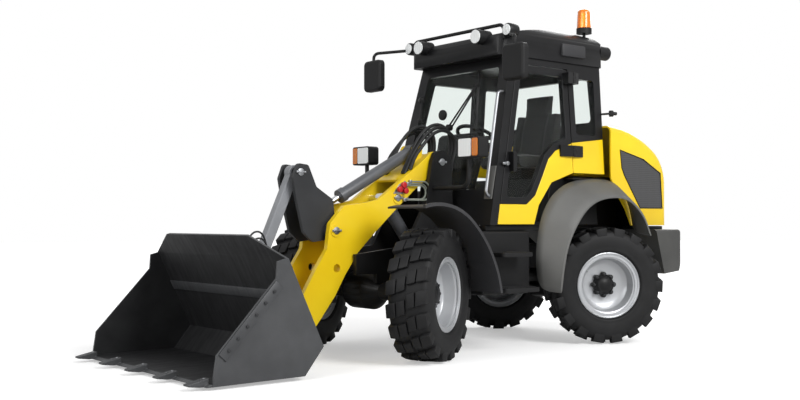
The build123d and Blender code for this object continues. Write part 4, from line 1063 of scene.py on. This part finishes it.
def seat_pad():
    """Seat cushion in place of the solid one, swollen as cloth and sewn down along two seams."""
    source = bmesh.new()
    source.from_mesh(NODES["seat_cushion"].data)
    bmesh.ops.remove_doubles(source, verts=source.verts, dist=WELD)
    low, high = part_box("seat_cushion")
    middle = (low + high) / 2
    bmesh.ops.transform(source, matrix=Matrix.Translation(middle) @ Matrix.Scale(SEAT_SHRINK, 4)
                        @ Matrix.Translation(-middle), verts=source.verts)
    mesh = bpy.data.meshes.new("seat_pad")
    source.to_mesh(mesh)
    source.free()
    made = bpy.data.objects.new("seat_pad", mesh)
    bpy.context.scene.collection.objects.link(made)
    bpy.context.view_layer.objects.active = made
    mesh.remesh_voxel_size = SEAT_VOXEL
    bpy.ops.object.voxel_remesh()
    cloth = made.modifiers.new("swell", "CLOTH")
    cloth.settings.use_pressure = True
    cloth.settings.uniform_pressure_force = SEAT_PRESSURE
    cloth.settings.effector_weights.gravity = 0.0
    scene = bpy.context.scene
    for number in range(1, SEAT_FRAMES + 1):
        scene.frame_set(number)
    swollen = made.evaluated_get(bpy.context.evaluated_depsgraph_get()).to_mesh()
    moved = [v.co.copy() for v in swollen.vertices]
    made.modifiers.remove(cloth)
    scene.frame_set(1)
    for vert, goal in zip(made.data.vertices, moved):
        step = goal - vert.co
        if step.length > SEAT_CAP:
            step *= SEAT_CAP / step.length
        vert.co += step
    for vert in made.data.vertices:
        press = sum(math.exp(-((vert.co.y - y) / SEAM_WIDTH) ** 2) for y in (SEAM_Y, -SEAM_Y))
        vert.co -= vert.normal * SEAM_DEPTH * press
    made.data.materials.clear()
    made.data.materials.append(FABRIC)
    made.data.shade_smooth()
    smooth = made.modifiers.new("smooth", "SUBSURF")
    smooth.levels = smooth.render_levels = 1
    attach(made, "chassis")
    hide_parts("seat_cushion")


paint_solids()
for radius, names in ROUNDED.items():
    for name in names:
        skin = rounded_solid(name, radius)
        if name == "bucket":
            paint_bucket_hollow_shade(skin)
wheels()
bucket_details()
pin_heads()
hose_arch()
coupler_station()
hitch_hoses()
wiper()
screen_fittings()
mirror_glass()
step_grips()
cab_details()
door_lock()
grille_border()
rear_fenders()
inner_pieces()
seat_pad()


# Studio: floor, soft lamps, white world and the photograph's camera

FLOOR_SIZE = 40
# Metres from the middle, and the floor's own light there
FADE_FROM = (2.5, 0.42)
FADE_TO = (7.0, 1.0)


def studio_floor():
    mesh = bpy.data.meshes.new("studio_floor")
    shape = bmesh.new()
    bmesh.ops.create_grid(shape, x_segments=1, y_segments=1, size=FLOOR_SIZE)
    shape.to_mesh(mesh)
    shape.free()
    floor = bpy.data.objects.new("studio_floor", mesh)
    bpy.context.scene.collection.objects.link(floor)
    # White sweep paper: lit a little from itself for the camera, so that it runs into the white background
    paper, tree, shader, place = surface("sweep_paper", Base_Color=linear("e6e6e6"), Roughness=0.9,
                                         Specular_IOR_Level=0.1)
    path = tree.nodes.new("ShaderNodeLightPath").outputs
    seen = add(tree, "ShaderNodeMath", {0: path["Is Camera Ray"], 1: path["Is Transmission Ray"]},
               operation="MAXIMUM")
    reach = add(tree, "ShaderNodeVectorMath", {0: place}, operation="LENGTH")
    fade = add(tree, "ShaderNodeMapRange", {"Value": reach.outputs["Value"],
                                            "From Min": FADE_FROM[0], "From Max": FADE_TO[0],
                                            "To Min": FADE_FROM[1], "To Max": FADE_TO[1]})
    glow = add(tree, "ShaderNodeMath", {0: seen.outputs["Value"], 1: fade.outputs["Result"]},
               operation="MULTIPLY")
    shader.inputs["Emission Color"].default_value = (1, 1, 1, 1)
    tree.links.new(glow.outputs["Value"], shader.inputs["Emission Strength"])
    mesh.materials.append(paper)


def studio_world():
    world = bpy.data.worlds.new("studio")
    bpy.context.scene.world = world
    world.use_nodes = True
    tree = world.node_tree
    back = tree.nodes["Background"]
    # White to the camera and through glass, a little darker in reflections, and dim as a light
    path = tree.nodes.new("ShaderNodeLightPath").outputs
    seen = add(tree, "ShaderNodeMath", {0: path["Is Camera Ray"], 1: path["Is Transmission Ray"]},
               operation="MAXIMUM")
    gloss = add(tree, "ShaderNodeMath", {0: path["Is Glossy Ray"], 1: 0.6}, operation="MULTIPLY")
    share = add(tree, "ShaderNodeMath", {0: seen.outputs["Value"], 1: gloss.outputs["Value"]},
                operation="MAXIMUM")
    level = add(tree, "ShaderNodeMapRange", {"Value": share.outputs["Value"], "To Min": 0.34, "To Max": 1.0})
    tree.links.new(level.outputs["Result"], back.inputs["Strength"])
    back.inputs["Color"].default_value = (1, 1, 1, 1)


def soft_lamp(name, at, aim, size, power):
    light = bpy.data.lights.new(name, "AREA")
    light.shape = "DISK"
    light.size = size
    light.energy = power
    lamp = bpy.data.objects.new(name, light)
    bpy.context.scene.collection.objects.link(lamp)
    lamp.location = at
    lamp.rotation_euler = (Vector(aim) - Vector(at)).to_track_quat("-Z", "Y").to_euler()


def photo_camera():
    data = bpy.data.cameras.new("photo_camera")
    data.sensor_fit = "HORIZONTAL"
    data.sensor_width = 36
    data.lens = CAMERA_LENS
    data.clip_end = 200
    camera = bpy.data.objects.new("photo_camera", data)
    bpy.context.scene.collection.objects.link(camera)
    camera.location = CAMERA_AT
    yaw = math.radians(CAMERA_YAW)
    pitch = math.radians(CAMERA_PITCH)
    look = Vector((math.cos(pitch) * math.cos(yaw), math.cos(pitch) * math.sin(yaw), math.sin(pitch)))
    camera.rotation_euler = look.to_track_quat("-Z", "Y").to_euler()
    bpy.context.scene.camera = camera


studio_floor()
studio_world()
soft_lamp("key_lamp", (-0.5, 8.0, 6.0), (0, 0, 0.8), 4.5, 640)
soft_lamp("front_lamp", (8.0, 2.0, 4.0), (0, 0, 0.8), 5.0, 260)
soft_lamp("rear_lamp", (-7.0, -3.0, 5.0), (0, 0, 1.0), 4.0, 300)
photo_camera()
bpy.context.scene.view_settings.view_transform = "Standard"
